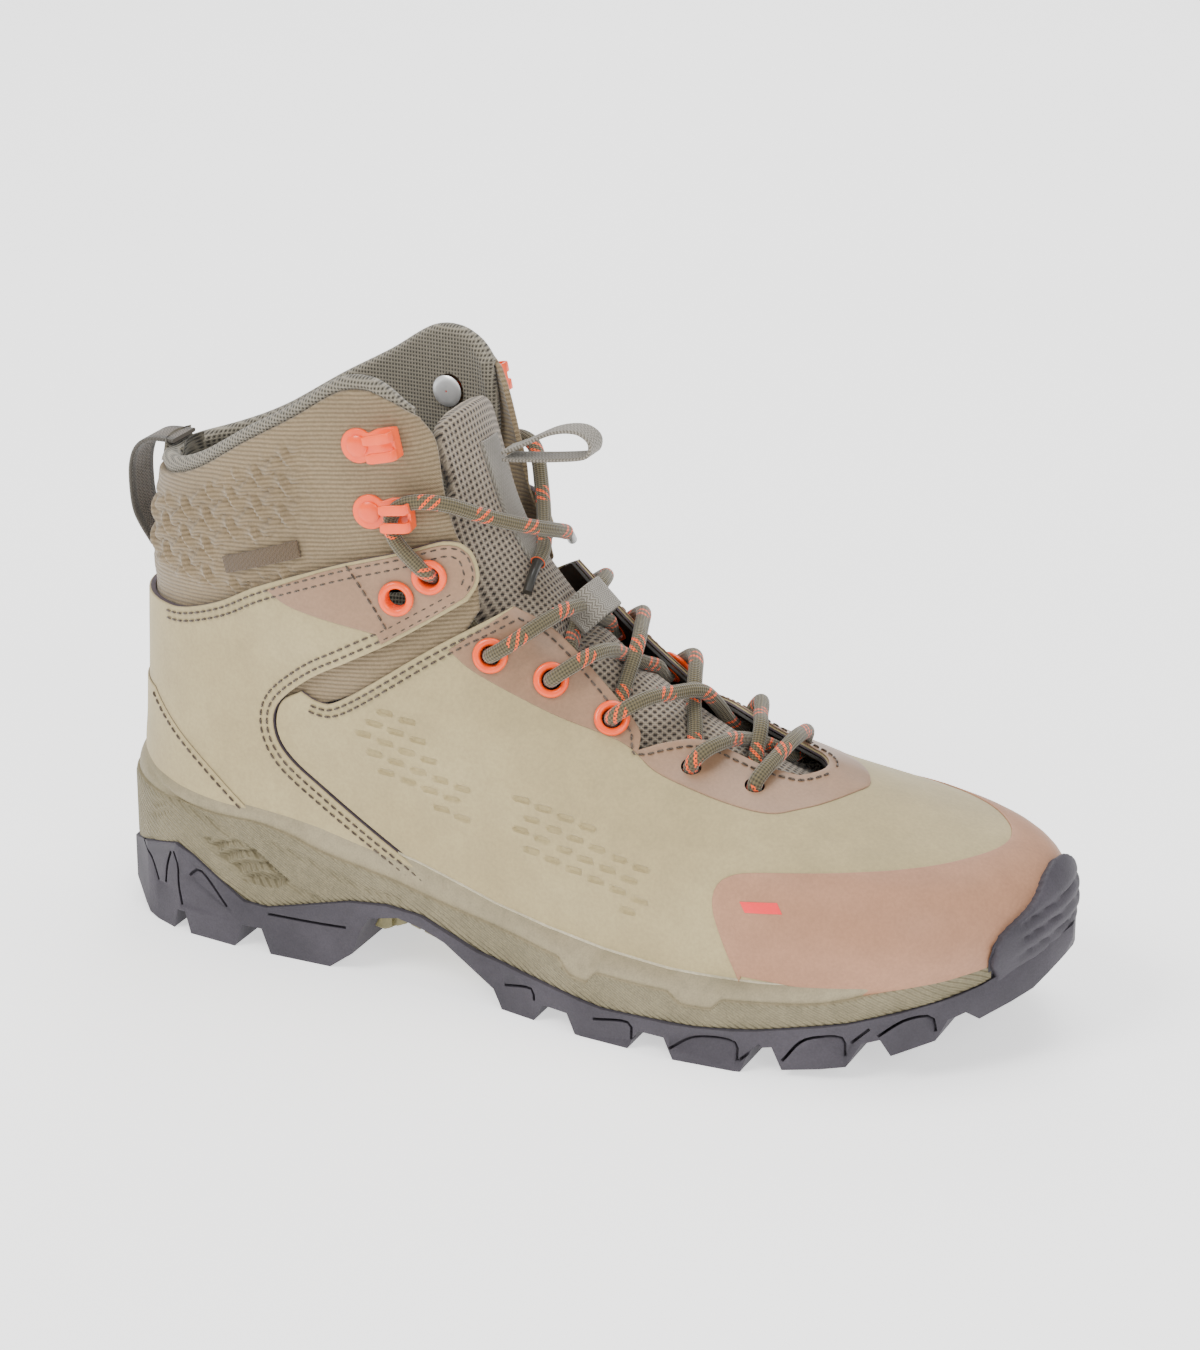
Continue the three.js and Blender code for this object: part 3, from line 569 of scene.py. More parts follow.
def spacer_mesh(name, light, dark, hole, cell, depth, rise, roughness=0.9):
    """Staggered rows of oval holes `cell` mm apart, in a knit of fine loops.

    `rise` says how the rows climb: across is X (lining) or Y (tongue), and along is a mix of X and Z;
    with None they lie flat, across X and along Y.
    """
    made, tree, shader = new_material(name, roughness, Sheen_Weight=0.25, Sheen_Roughness=0.5,
                                      Specular_IOR_Level=0.2)
    where = object_space(tree)
    x, y, z = axes(tree, where)
    if rise and rise[0]:
        x, y = x, z
    elif rise:
        x, y = y, maths(tree, "ADD", maths(tree, "MULTIPLY", x, rise[1]), maths(tree, "MULTIPLY", z, rise[2]))
    across = maths(tree, "MULTIPLY", x, 2 * math.pi / (cell * MM))
    along = maths(tree, "MULTIPLY", y, 2 * math.pi / (cell * 1.15 * MM))
    waves = maths(tree, "MULTIPLY", maths(tree, "COSINE", across), maths(tree, "COSINE", along))
    fine_across = maths(tree, "SINE", maths(tree, "MULTIPLY", across, 4.0))
    fine_along = maths(tree, "SINE", maths(tree, "MULTIPLY", along, 4.0))
    loops = maths(tree, "MULTIPLY", fine_across, fine_along)
    open_part = maths(tree, "SMOOTH_MAX", waves, maths(tree, "MULTIPLY", waves, -1.0), 0.15)
    net = maths(tree, "SUBTRACT", 1.0, open_part)
    surface = maths(tree, "MULTIPLY_ADD", loops, 0.18, net)
    fuzz = noise(tree, where, 1200, 2)
    colour = ramp(tree, surface, [(0.12, hole), (0.38, dark), (0.85, light)])
    colour = mix(tree, 0.25, colour, ramp(tree, fuzz, [(0.3, 0.3), (0.7, 0.75)]), "OVERLAY")
    set_colour(tree, shader, colour)
    first = bump(tree, shader, surface, depth, 0.9)
    bump(tree, shader, fuzz, 0.06, 0.4, first)
    return made


def webbing_weave(name, light, dark, stripe=None):
    """A tape woven in small chevrons; UV x runs across it and y along it, in metres."""
    made, tree, shader = new_material(name, 0.8, Sheen_Weight=0.25, Specular_IOR_Level=0.3)
    x, y, _ = axes(tree, flat_space(tree))
    side = maths(tree, "PINGPONG", x, 0.0012)
    diagonal = maths(tree, "MULTIPLY", maths(tree, "ADD", y, side), 2 * math.pi / 0.0011)
    chevron = maths(tree, "MULTIPLY_ADD", maths(tree, "SINE", diagonal), 0.5, 0.5)
    warp = maths(tree, "SINE", maths(tree, "MULTIPLY", x, 2 * math.pi / 0.0006))
    yarn = maths(tree, "MULTIPLY_ADD", warp, 0.18, chevron)
    fuzz = noise(tree, object_space(tree), 1100, 2)
    colour = ramp(tree, yarn, [(0.1, dark), (0.8, light)])
    if stripe:
        edge = maths(tree, "GREATER_THAN", maths(tree, "ABSOLUTE", x), stripe[0] * MM)
        colour = mix(tree, edge, colour, stripe[1])
    set_colour(tree, shader, mix(tree, 0.25, colour, ramp(tree, fuzz, [(0.3, 0.35), (0.7, 0.7)]), "OVERLAY"))
    bump(tree, shader, yarn, 0.14, 0.8)
    return made


RIBBED = ribbed_fabric("ribbed_fabric", "#87765C", "#6F6049", 1.35)
LINING_MESH = spacer_mesh("lining_mesh", "#8C8576", "#656054", "#39352E", 2.1, 0.35, (1.0, 0.0, 1.0))
TONGUE_MESH = spacer_mesh("tongue_mesh", "#9B8E7C", "#70655A", "#2E2923", 3.0, 0.55, (0.0, -0.7, 0.7))
WEBBING = webbing_weave("grey_webbing", "#8B857B", "#5E594F")
HEEL_WEBBING = webbing_weave("heel_webbing", "#6D6459", "#3F3932", (4.3, "#4A4640"))
LABEL_WEAVE = webbing_weave("label_weave", "#5D4B38", "#43351F")
print("textiles:", RIBBED.name, LINING_MESH.name, TONGUE_MESH.name, WEBBING.name)

# %% [markdown]
# ### The lace
# Fourteen strands are braided round a core. The braid is drawn from the lace's own map: once round
# is 1 across, and its length runs the other way in metres. Every 17 mm a few strands are orange.

# %%
LACE, tree, shader = new_material("lace_braid", 0.72, Sheen_Weight=0.3, Specular_IOR_Level=0.3)
round_, along_, _ = axes(tree, flat_space(tree))
BRAID_TURN = 0.0105
left = maths(tree, "MULTIPLY_ADD", along_, 1 / BRAID_TURN, round_)
right = maths(tree, "MULTIPLY_ADD", along_, -1 / BRAID_TURN, round_)
STRANDS = 7.0
left_strand = maths(tree, "SINE", maths(tree, "MULTIPLY", left, STRANDS * 2 * math.pi))
right_strand = maths(tree, "SINE", maths(tree, "MULTIPLY", right, STRANDS * 2 * math.pi))
weave = maths(tree, "MULTIPLY", left_strand, right_strand)
braid = maths(tree, "MULTIPLY_ADD", weave, 0.5, 0.5)
thread = noise(tree, object_space(tree), 1500, 2)
base = ramp(tree, braid, [(0.15, "#3A3423"), (0.8, "#675D42")])
band = maths(tree, "FRACT", maths(tree, "MULTIPLY", along_, 1 / 0.0172))
in_band = maths(tree, "LESS_THAN", band, 0.34)
left_cell = maths(tree, "FRACT", maths(tree, "MULTIPLY", left, STRANDS / 2))
some_left = maths(tree, "LESS_THAN", left_cell, 0.36)
crossing_on_top = maths(tree, "GREATER_THAN", braid, 0.36)
fleck = maths(tree, "MULTIPLY", in_band, maths(tree, "MULTIPLY", some_left, crossing_on_top))
coloured = mix(tree, fleck, base, "#FF5A0A")
set_colour(tree, shader, mix(tree, 0.2, coloured, ramp(tree, thread, [(0.3, 0.3), (0.7, 0.75)]), "OVERLAY"))
first = bump(tree, shader, braid, 0.30, 0.9)
bump(tree, shader, thread, 0.05, 0.5, first)
print("lace braid:", int(STRANDS * 2), "strands, one turn in", BRAID_TURN * 1000, "mm")

# %% [markdown]
# ### Rubber, foam, metal and board
# The midsole is foam with fine slanted ridges moulded in; the outsole is harder rubber with a
# pebble grain and faint patches of dust. The hooks and eyelets are steel with orange lacquer.


# %%
def moulded(name, light, dark, roughness, grain, ridge=None):
    """A moulded rubber or foam; `ridge` is (pitch mm, depth mm) of fine slanted lines."""
    made, tree, shader = new_material(name, roughness, Specular_IOR_Level=0.35)
    where = object_space(tree)
    x, y, z = axes(tree, where)
    clouds = noise(tree, where, 30, 4)
    pebble = add_node(tree, "ShaderNodeTexVoronoi", {"Vector": where, "Scale": 1 / (grain * MM)},
                      feature="SMOOTH_F1").outputs["Distance"]
    dust = noise(tree, where, 300, 3)
    colour = ramp(tree, clouds, [(0.3, dark), (0.7, light)])
    colour = mix(tree, 0.22, colour, ramp(tree, pebble, [(0.2, 0.7), (0.8, 0.3)]), "OVERLAY")
    set_colour(tree, shader, mix(tree, 0.12, colour, ramp(tree, dust, [(0.4, 0.3), (0.6, 0.75)]), "OVERLAY"))
    set_roughness(tree, shader, dust, roughness - 0.08, roughness + 0.08)
    last_bump = bump(tree, shader, pebble, 0.12, 0.5)
    if ridge:
        pitch, depth = ridge
        slanted = maths(tree, "ADD", maths(tree, "MULTIPLY", x, 0.55), z)
        bent = maths(tree, "MULTIPLY_ADD", noise(tree, where, 35, 2), 0.004, slanted)
        wave = maths(tree, "SINE", maths(tree, "MULTIPLY", bent, 2 * math.pi / (pitch * MM)))
        last_bump = bump(tree, shader, wave, depth, 0.9, last_bump)
    bump(tree, shader, dust, 0.05, 0.4, last_bump)
    return made


MIDSOLE = moulded("midsole_foam", "#867D64", "#736B53", 0.72, 0.7, (1.7, 0.30))
MIDSOLE_BAND = moulded("midsole_band", "#92876D", "#827960", 0.66, 0.5)
GLUE_LINE = moulded("glue_line", "#C4BBA3", "#A39A80", 0.6, 0.8)
OUTSOLE = moulded("outsole_rubber", "#423E45", "#312E34", 0.68, 0.55)
ARCH = moulded("arch_plastic", "#857D58", "#6B6443", 0.45, 0.5)
BOARD = moulded("fibre_board", "#9A7B55", "#7F6241", 0.85, 0.9)
FOOTBED_TOP = spacer_mesh("footbed_fabric", "#57544D", "#3E3C37", "#2C2A27", 1.6, 0.12, None)


def lacquered(name, light, dark, roughness, metal, coat):
    made, tree, shader = new_material(name, roughness, Metallic=metal, Coat_Weight=coat,
                                      Coat_Roughness=0.12)
    where = object_space(tree)
    clouds = noise(tree, where, 220, 3)
    scuffs = noise(tree, where, 2600, 2, 0.7)
    set_colour(tree, shader, ramp(tree, clouds, [(0.3, dark), (0.7, light)]))
    set_roughness(tree, shader, scuffs, roughness - 0.06, roughness + 0.1)
    bump(tree, shader, clouds, 0.03, 0.4)
    return made


ORANGE = lacquered("orange_lacquer", "#FF5704", "#F54A00", 0.36, 0.0, 0.3)
STEEL = lacquered("washer_steel", "#F0F0F0", "#DADBDC", 0.38, 0.75, 0.0)
SHANK_STEEL = lacquered("shank_steel", "#95989B", "#7E8184", 0.4, 1.0, 0.0)
THREAD = webbing_weave("brown_thread", "#574A3D", "#3B3128")
MARK = grain_leather("coral_print", "#F23C40", "#EA3238", 0.5, 0.01)
AGLET = lacquered("aglet_plastic", "#2C2A24", "#201E1A", 0.3, 0.0, 0.3)
print("materials made:", len(bpy.data.materials))

# %% [markdown]
# ## The lace's route
# The lace is threaded first in the plan, because the tongue has to dent where it is pulled down.
# Its route repeats the CAD model's: from the bar at the toe end, each half crosses the tongue and
# comes up through the next hole, then runs inside to the top eyelet and round the lower hook.

# %%
HOLES = [(0.798, 3.8), (0.757, 4.1), (0.749, 4.93), (0.739, 5.53), (0.689, 5.83), (0.625, 6.55),
         (0.705, 6.88)]
LACE_RADIUS = 2.3
UNDER, OVER = -4, 6.2
SINK = [0, 0.5, 1.5, 3.5]
TAILS = [
    [[0.86, 7.62, 3.6], [0.93, 7.34, 3.8], [1, 7.14, 3.8], [1.07, 6.98, 3.4], [1.14, 6.8, 2.2]],
    [[0.86, 7.42, 0.8], [0.93, 7.16, -1.8], [1, 7, -2.2], [1.08, 6.84, -2.4], [1.13, 6.66, -2.6]],
]
RIDGE_LEVELS = 3 + np.arange(121) / 24
RIDGE = last_point(np.ones(121), RIDGE_LEVELS)


def hole_at(index, side):
    u, level = HOLES[index]
    return (u if side < 0 else 2 - u), level


def nearest_on_last(point, u, level):
    """The place on the last nearest to a point, found with shrinking steps."""
    best = np.array([u, level], float)
    reach = np.linalg.norm(last_point(*best) - point)
    step = 0.2
    while step > 5e-4:
        tries = best + np.array([[step / 4, 0], [-step / 4, 0], [0, step], [0, -step]])
        reaches = np.linalg.norm(last_point(tries[:, 0], tries[:, 1]) - point, axis=1)
        if reaches.min() < reach - 1e-9:
            best, reach = tries[reaches.argmin()], reaches.min()
        else:
            step /= 2
    return best


def ridge_bow(start, end):
    middle = (start + end) / 2
    return RIDGE[np.linalg.norm(RIDGE - middle, axis=1).argmin()] - middle


def crossing(index, side, high):
    u0, v0 = hole_at(index, side)
    u1, v1 = hole_at(index + 1, -side)
    start, end = last_point(u0, v0), last_point(u1, v1)
    bow = ridge_bow(start, end)
    stations = [
        (0.06, UNDER), (0.17, UNDER), (0.3, (-1.6 if high else -3.6) - SINK[index]),
        (0.5, (2.2 if high else -2.6) - SINK[index]), (0.7, 2.6 if high else 1.4), (0.83, 4.9), (0.93, OVER),
    ]
    points = []
    for f, height in stations:
        aim = start + (end - start) * f + bow * 4 * f * (1 - f)
        place = nearest_on_last(aim, u0 + (u1 - u0) * f, v0 + (v1 - v0) * f)
        points.append(on_last(*place, height))
    return points + [on_last(u1, v1, h) for h in (3.6, 0, -3)]


def upper_run(side):
    u5, v5 = hole_at(4, side)
    u7, v7 = hole_at(6, side)
    inside = [on_last(u5 + (u7 - u5) * f, v5 + (v7 - v5) * f, UNDER) for f in (0.25, 0.6)]
    eyelet = [on_last(u7, v7 - 0.12, -3.2), on_last(u7, v7, 0), on_last(u7, v7 + 0.06, 3.6)]
    outside = [(0.7, 7.12, 4.8), (0.688, 7.4, 4.2), (0.69, 7.66, 4.0), (0.712, 7.88, 4.2),
               (0.75, 7.98, 4.6), (0.8, 7.9, 4.6)]
    return inside + eyelet + [on_last(u if side < 0 else 2 - u, v, h) for u, v, h in outside]


def strand(side, tail):
    points = []
    for index in range(4):
        points += crossing(index, side, (index % 2 == 0) == (side < 0))
        side = -side
    points += upper_run(side)
    return points + [on_last(u if side < 0 else 2 - u, v, h) for u, v, h in tail]


def lace_route():
    u, level = HOLES[0]
    near, far = last_point(u, level), last_point(2 - u, level)
    bow = ridge_bow(near, far)
    bar = []
    for f in (0.08, 0.25, 0.5, 0.75, 0.92):
        aim = near + (far - near) * f + bow * 4 * f * (1 - f)
        bar.append(on_last(*nearest_on_last(aim, u + 2 * (1 - u) * f, level), 4.4))
    return np.array(
        strand(-1, TAILS[0])[::-1] + [on_last(u, level, h) for h in (-3, 0, 3)] + bar
        + [on_last(2 - u, level, h) for h in (3, 0, -3)] + strand(1, TAILS[1])
    )


def threaded_curve(points, per_span=10):
    """A centripetal curve through the points, as close as the CAD lace follows them."""
    p = np.vstack([2 * points[0] - points[1], points, 2 * points[-1] - points[-2]])
    out = []
    for i in range(len(points) - 1):
        p0, p1, p2, p3 = p[i:i + 4]
        d0, d1, d2 = [max(np.linalg.norm(b - a) ** 0.5, 1e-2) for a, b in ((p0, p1), (p1, p2), (p2, p3))]
        t1 = ((p1 - p0) / d0 - (p2 - p0) / (d0 + d1) + (p2 - p1) / d1) * d1
        t2 = ((p2 - p1) / d1 - (p3 - p1) / (d1 + d2) + (p3 - p2) / d2) * d1
        t = np.linspace(0, 1, per_span, endpoint=False)[:, None]
        a, b = 2 * p1 - 2 * p2 + t1 + t2, -3 * p1 + 3 * p2 - 2 * t1 - t2
        out.append(a * t ** 3 + b * t ** 2 + t1 * t + p1)
    return np.vstack(out + [points[-1:]])


def even_steps(points, step):
    along = np.concatenate([[0], np.cumsum(np.linalg.norm(np.diff(points, axis=0), axis=1))])
    wanted = np.linspace(0, along[-1], int(along[-1] / step) + 1)
    return np.stack([np.interp(wanted, along, points[:, k]) for k in range(3)], -1), along[-1]


def softened(points, times):
    """Rounds the small corners of a line, as a lace under tension does."""
    for _ in range(times):
        points[1:-1] = 0.25 * points[:-2] + 0.5 * points[1:-1] + 0.25 * points[2:]
    return points


lace_line, lace_length = even_steps(threaded_curve(lace_route()), 0.8)
lace_line = softened(lace_line, 6)
print(f"lace: {lace_length / 1000:.2f} m, {len(lace_line)} rings")

# %% [markdown]
# ## Small makers: tubes, ribbons, turned rings and stitches
# A lace or a thread is a tube along a line; webbing is a flat ribbon with rounded edges; eyelets,
# rivets and washers are turned from a profile; a stitch is a short fat thread that dips at its ends.


# %%
def line_frames(points):
    """Tangent and two cross directions that turn as little as possible along the line."""
    tangent = unit(np.gradient(points, axis=0))
    first = np.cross(tangent[0], [0.0, 0.0, 1.0])
    if np.linalg.norm(first) < 0.1:
        first = np.cross(tangent[0], [0.0, 1.0, 0.0])
    side = [unit(first)]
    for t in tangent[1:]:
        s = side[-1] - t * (side[-1] @ t)
        side.append(unit(s))
    side = np.array(side)
    return tangent, side, np.cross(tangent, side)


def grid_mesh(name, points, uv, materials, wrap=True, caps=True, **place):
    """A mesh from rings of points; `wrap` closes each ring, `caps` closes the ends."""
    rows, sides = points.shape[:2]
    bm = bmesh.new()
    uv_layer = bm.loops.layers.uv.new("Flat")
    verts = [[bm.verts.new((p + ORIGIN) * MM) for p in ring] for ring in points]
    for i in range(rows - 1):
        for j in range(sides if wrap else sides - 1):
            k = (j + 1) % sides
            corners = [(i, j), (i, k), (i + 1, k), (i + 1, j)]
            face = bm.faces.new([verts[a][b] for a, b in corners])
            for corner, (a, b) in zip(face.loops, corners):
                x, y = uv(a, b if b or j < sides - 1 else sides)
                corner[uv_layer].uv = (x, y)
    if caps:
        bm.faces.new(verts[0][::-1])
        bm.faces.new(verts[-1])
    bmesh.ops.recalc_face_normals(bm, faces=bm.faces)
    return finish_piece(new_object(name, bm, materials), **place)


def tube(name, points, radius, sides, materials, **place):
    _, a, b = line_frames(points)
    angle = 2 * math.pi * np.arange(sides) / sides
    ring = a[:, None] * np.cos(angle)[:, None] + b[:, None] * np.sin(angle)[:, None]
    radius = np.broadcast_to(np.asarray(radius, float), (len(points),))
    along = np.concatenate([[0], np.cumsum(np.linalg.norm(np.diff(points, axis=0), axis=1))]) * MM
    uv = lambda i, j: (j / sides, along[i])
    return grid_mesh(name, points[:, None] + ring * radius[:, None, None], uv, materials, **place)


def ribbon(name, path, width_axis, width, thickness, materials, spacing=0.8, **place):
    """Webbing along a smooth path, its width along one direction, with round selvedges."""
    path, _ = even_steps(smooth_line(np.asarray(path, float), 0.5), spacing)
    tangent = unit(np.gradient(path, axis=0))
    across = unit(np.asarray(width_axis, float))
    normal = unit(np.cross(tangent, across))
    half, r = width / 2, thickness / 2
    profile = [(x, r) for x in np.linspace(-half + r, half - r, 9)]
    profile += [(half - r + r * math.cos(a), r * math.sin(a)) for a in (1.05, 0.52, 0, -0.52, -1.05)]
    profile += [(x, -r) for x in np.linspace(half - r, -half + r, 9)]
    profile += [(-half + r - r * math.cos(a), -r * math.sin(a)) for a in (1.05, 0.52, 0, -0.52, -1.05)]
    profile = np.array(profile)
    points = path[:, None] + across * profile[None, :, :1] + normal[:, None] * profile[None, :, 1:]
    uv = lambda i, j: (profile[j % len(profile), 0] * MM, i * spacing * MM)
    return grid_mesh(name, points, uv, materials, **place)


def stand_on(u, level, height, side):
    """A turned frame: Z is the outward normal, X runs forward and up the boot."""
    z = last_normal(u, level)
    ahead = unit(last_point(u + (0.01 if side < 0 else -0.01), level) - last_point(u, level))
    y = unit(np.cross(z, ahead))
    return np.stack([np.cross(y, z), y, z], 1), on_last(u, level, height)


def turned(name, profile, spot, turn, materials, sides=48, **place):
    """A ring turned from a closed profile [radius, height] in a stand_on frame."""
    profile = np.asarray(profile, float)
    angle = 2 * math.pi * np.arange(sides) / sides
    r, h = profile[:, 0], profile[:, 1]
    local = np.stack([
        np.cos(angle)[:, None] * r, np.sin(angle)[:, None] * r, np.ones(sides)[:, None] * h,
    ], -1)
    world = local @ turn.T + spot
    world = np.concatenate([world, world[:1]])
    bm = bmesh.new()
    verts = [[bm.verts.new((p + ORIGIN) * MM) for p in ring] for ring in world[:-1]]
    count = len(profile)
    for i in range(sides):
        for j in range(count):
            k = (j + 1) % count
            a, b = verts[i], verts[(i + 1) % sides]
            bm.faces.new((a[j], b[j], b[k], a[k]))
    bmesh.ops.remove_doubles(bm, verts=bm.verts, dist=1e-6)
    bmesh.ops.recalc_face_normals(bm, faces=bm.faces)
    return finish_piece(new_object(name, bm, materials), **place)


STITCH_RINGS = np.linspace(0, math.pi, 7)
STITCH_SIDES = 6


def stitches(name, lines, material, pitch=2.9, length=2.1, radius=0.36, **place):
    """Rows of stitches along lines of places; each line is (places, height)."""
    angle = 2 * math.pi * np.arange(STITCH_SIDES) / STITCH_SIDES
    bm = bmesh.new()
    uv_layer = bm.loops.layers.uv.new("Flat")
    total = 0
    for places, height in lines:
        points = last_point(places[:, 0], places[:, 1])
        along = np.concatenate([[0], np.cumsum(np.linalg.norm(np.diff(points, axis=0), axis=1))])
        middles = np.arange(pitch * 0.6, along[-1] - pitch * 0.4, pitch)
        at = lambda s: np.stack([np.interp(s, along, places[:, k]) for k in (0, 1)], -1)
        start, end = at(middles - length / 2), at(middles + length / 2)
        normal = last_normal(*at(middles).T)
        a = last_point(*start.T) + normal * height
        b = last_point(*end.T) + normal * height
        axis = unit(b - a)
        side = np.cross(normal, axis)
        for p, q, n, s in zip(a, b, normal, side):
            rings = []
            for t in STITCH_RINGS:
                f = (1 - math.cos(t)) / 2
                fat = radius * (0.35 + 0.65 * math.sin(t) ** 0.6)
                lift = radius * 0.55 * math.sin(t)
                centre = p + (q - p) * f + n * lift
                ring = [centre + (s * math.cos(w) + n * math.sin(w)) * fat for w in angle]
                rings.append([bm.verts.new((c + ORIGIN) * MM) for c in ring])
            for i in range(len(rings) - 1):
                for j in range(STITCH_SIDES):
                    k = (j + 1) % STITCH_SIDES
                    bm.faces.new((rings[i][j], rings[i][k], rings[i + 1][k], rings[i + 1][j]))
            bm.faces.new(rings[0][::-1])
            bm.faces.new(rings[-1])
            total += 1
    for face in bm.faces:
        for corner in face.loops:
            x, y, z = corner.vert.co
            corner[uv_layer].uv = (y, x + z)
    bmesh.ops.recalc_face_normals(bm, faces=bm.faces)
    print(name, total, "stitches")
    return finish_piece(new_object(name, bm, [material]), **place)


print("makers ready")

# %% [markdown]
# ## Front quarter and vamp
# One piece of nubuck runs from the outer side round the toe to the inner side. Two fields of short
# slots are pressed into it on each side, so the panel is cut finer there and the slots are real.

# %%
THROAT_TOP = [[134.5, 120], [144, 114], [158, 102], [174, 88], [176.6, 82]]
THROAT_FRONT = [[176.6, 82], [183, 83.6], [192, 83.6], [209, 77.5], [220, 74.5]]
QUARTER_TOP = [[71, 88.2], [77, 86], [85, 88], [113, 107], [134.5, 120]]
STRAP_CURVE = [[75, 93.5], [63, 83], [61, 74], [66, 65.5], [81, 55.5], [114, 35.5], [119, 31]]


def side_line(points, side=-1, spacing=2.0):
    return place_of(smooth_line(points, spacing), side)


def join(*lines):
    """Joins lines of places into one loop, leaving out repeated points."""
    loop = [lines[0]]
    for line in lines[1:]:
        start = 1 if np.linalg.norm((line[0] - loop[-1][-1]) * [U_SCALE, V_SCALE]) < 0.5 else 0
        loop.append(line[start:])
    loop = np.vstack(loop)
    near = np.linalg.norm((loop[0] - loop[-1]) * [U_SCALE, V_SCALE]) < 0.5
    return loop[:-1] if near else loop


def level_line(u0, u1, level, step=0.006):
    u = np.linspace(u0, u1, max(2, int(abs(u1 - u0) / step)))
    return np.stack([u, np.full(len(u), float(level))], -1)


def place_line(points, spacing=2.0):
    """A smooth line drawn directly as places on the last."""
    scaled = np.asarray(points, float) * [U_SCALE, V_SCALE]
    return smooth_line(scaled, spacing) / [U_SCALE, V_SCALE]


SLOT_LENGTH, SLOT_WIDTH, SLOT_DEPTH = 5.2, 1.7, 0.8
SLOT_PITCH, SLOT_ROW, SLOT_SLOPE = 7.4, 4.8, -0.20
SLOT_FIELDS = [
    [[90, 87], [99, 91], [112, 84], [130, 64], [130, 50], [91, 73]],
    [[143, 70], [189, 57.5], [190, 39], [143, 51]],
]


def inside_polygon(x, z, polygon):
    hit = False
    for (x0, z0), (x1, z1) in zip(polygon, polygon[1:] + polygon[:1]):
        if (z0 > z) != (z1 > z) and x < x0 + (z - z0) / (z1 - z0) * (x1 - x0):
            hit = not hit
    return hit


def slot_centres():
    found = []
    for field in SLOT_FIELDS:
        xs, zs = [p[0] for p in field], [p[1] for p in field]
        x0, z0 = min(xs), max(zs)
        for row in range(-4, 14):
            for k in range(-1, 9):
                x = x0 + 3 + (k + 0.5 * (row % 2)) * SLOT_PITCH
                z = z0 - 2 - row * SLOT_ROW + SLOT_SLOPE * (x - x0)
                if inside_polygon(x, z, field):
                    found.append((x, z))
    return found


SLOTS = slot_centres()


def slot_relief(u, level, base):
    """Short pressed slots with a faint raised lip."""
    out = np.zeros(len(base))
    for x, z in SLOTS:
        dx, dz = base[:, 0] - x, base[:, 2] - z + 0.05 * (base[:, 0] - x)
        away = np.hypot(np.maximum(np.abs(dx) - (SLOT_LENGTH - SLOT_WIDTH) / 2, 0), dz)
        floor = np.clip((SLOT_WIDTH / 2 - away) / 0.45 + 0.5, 0, 1)
        lip = np.exp(-((away - SLOT_WIDTH / 2 - 0.4) / 0.35) ** 2)
        out += -SLOT_DEPTH * floor * floor * (3 - 2 * floor) + 0.14 * lip
    return out


throat = join(side_line(THROAT_TOP), side_line(THROAT_FRONT),
              place_line([place_of([[220, 74.5]])[0], (0.95, 4.02), (1, 4.03)]))
quarter_rear = side_line([[71, 88.2], *[[x + 0.6, z + 0.3] for x, z in STRAP_CURVE[1:]]])
BOTTOM_LEVEL = 0.0
rear_foot = quarter_rear[-1]
half = join(
    level_line(1, rear_foot[0], BOTTOM_LEVEL), quarter_rear[::-1],
    side_line(QUARTER_TOP), throat,
)
quarter_loop = join(half, mirrored(half)[1:-1])
fine_fields = []
for side in (-1, 1):
    for field in SLOT_FIELDS:
        spots = place_of(field, side)
        fine_fields.append((spots.min(0) - [0.004, 0.05], spots.max(0) + [0.004, 0.05], 0.6))
panel("front_quarter", quarter_loop, 1.2, 0.0, [NUBUCK, CUT_EDGE], edge=0.6, relief=slot_relief,
      holes=[(*hole_at(i, side), 3.0 if i < 2 else 4.0) for i in range(5) for side in (-1, 1)],
      fine=fine_fields, replaces=["front_quarter_and_vamp"], slot="nubuck")

# %% [markdown]
# ## Rear quarters, heel panel and strap films
# The rear quarters lie on the front one, and their cut edge shows as a dark line. The strap at
# their top carries the two upper eyelets under a coated film.

# %%
STRAP_TOP = [[15, 104], [26, 105.4], [42, 111.5], [59, 120.5], [83, 130], [102, 135.5], [114, 139.6],
             [119, 139]]
NOSE = [[119, 139], [122, 136], [124.6, 130], [124.6, 126], [122.6, 122]]
STRAP_LOW = [[122.6, 122], [112, 115], [102, 108.5], [88, 101], [75, 93.5], [63, 83], [61, 74],
             [66, 65.5], [81, 55.5], [114, 35.5], [119, 31]]
HEEL_SEAM = 0.0025
strap_top = side_line(STRAP_TOP)
strap_low = side_line(STRAP_LOW)
rear_loop = join(
    place_line([(HEEL_SEAM, 4.84), (0.1, 4.85), strap_top[0]]), strap_top, side_line(NOSE), strap_low,
    level_line(strap_low[-1][0], HEEL_SEAM, BOTTOM_LEVEL),
    np.stack([np.full(30, HEEL_SEAM), np.linspace(BOTTOM_LEVEL, 4.84, 30)], -1),
)
strap_film = join(
    side_line([[61.5, 119.8], [72, 124.6], [83, 129.1], [102, 134.7], [114, 138.6], [118.4, 138]]),
    side_line([[118.4, 138], [121.3, 135.3], [123.6, 130], [123.6, 126.4], [121.6, 123]]),
    side_line([[121.6, 123], [112, 116.2], [102, 109.8], [98.6, 107.7]]),
    side_line([[98.6, 107.7], [97.1, 110.5]]),
    side_line([[97.1, 110.5], [88, 112.3], [75, 114.7], [67.7, 116.5], [61.5, 119.8]]),
)
heel_line = [[12, 74.2], [16, 71], [24, 65.3], [38, 56], [51.5, 46]]
heel_half = join(place_line([(HEEL_SEAM, 2.67), (0.06, 2.67), place_of([[12, 74.2]])[0]]),
                 side_line(heel_line))
heel_loop = join(heel_half, level_line(heel_half[-1][0], HEEL_SEAM, 0.3),
                 np.stack([np.full(20, HEEL_SEAM), np.linspace(0.3, 2.67, 20)], -1))
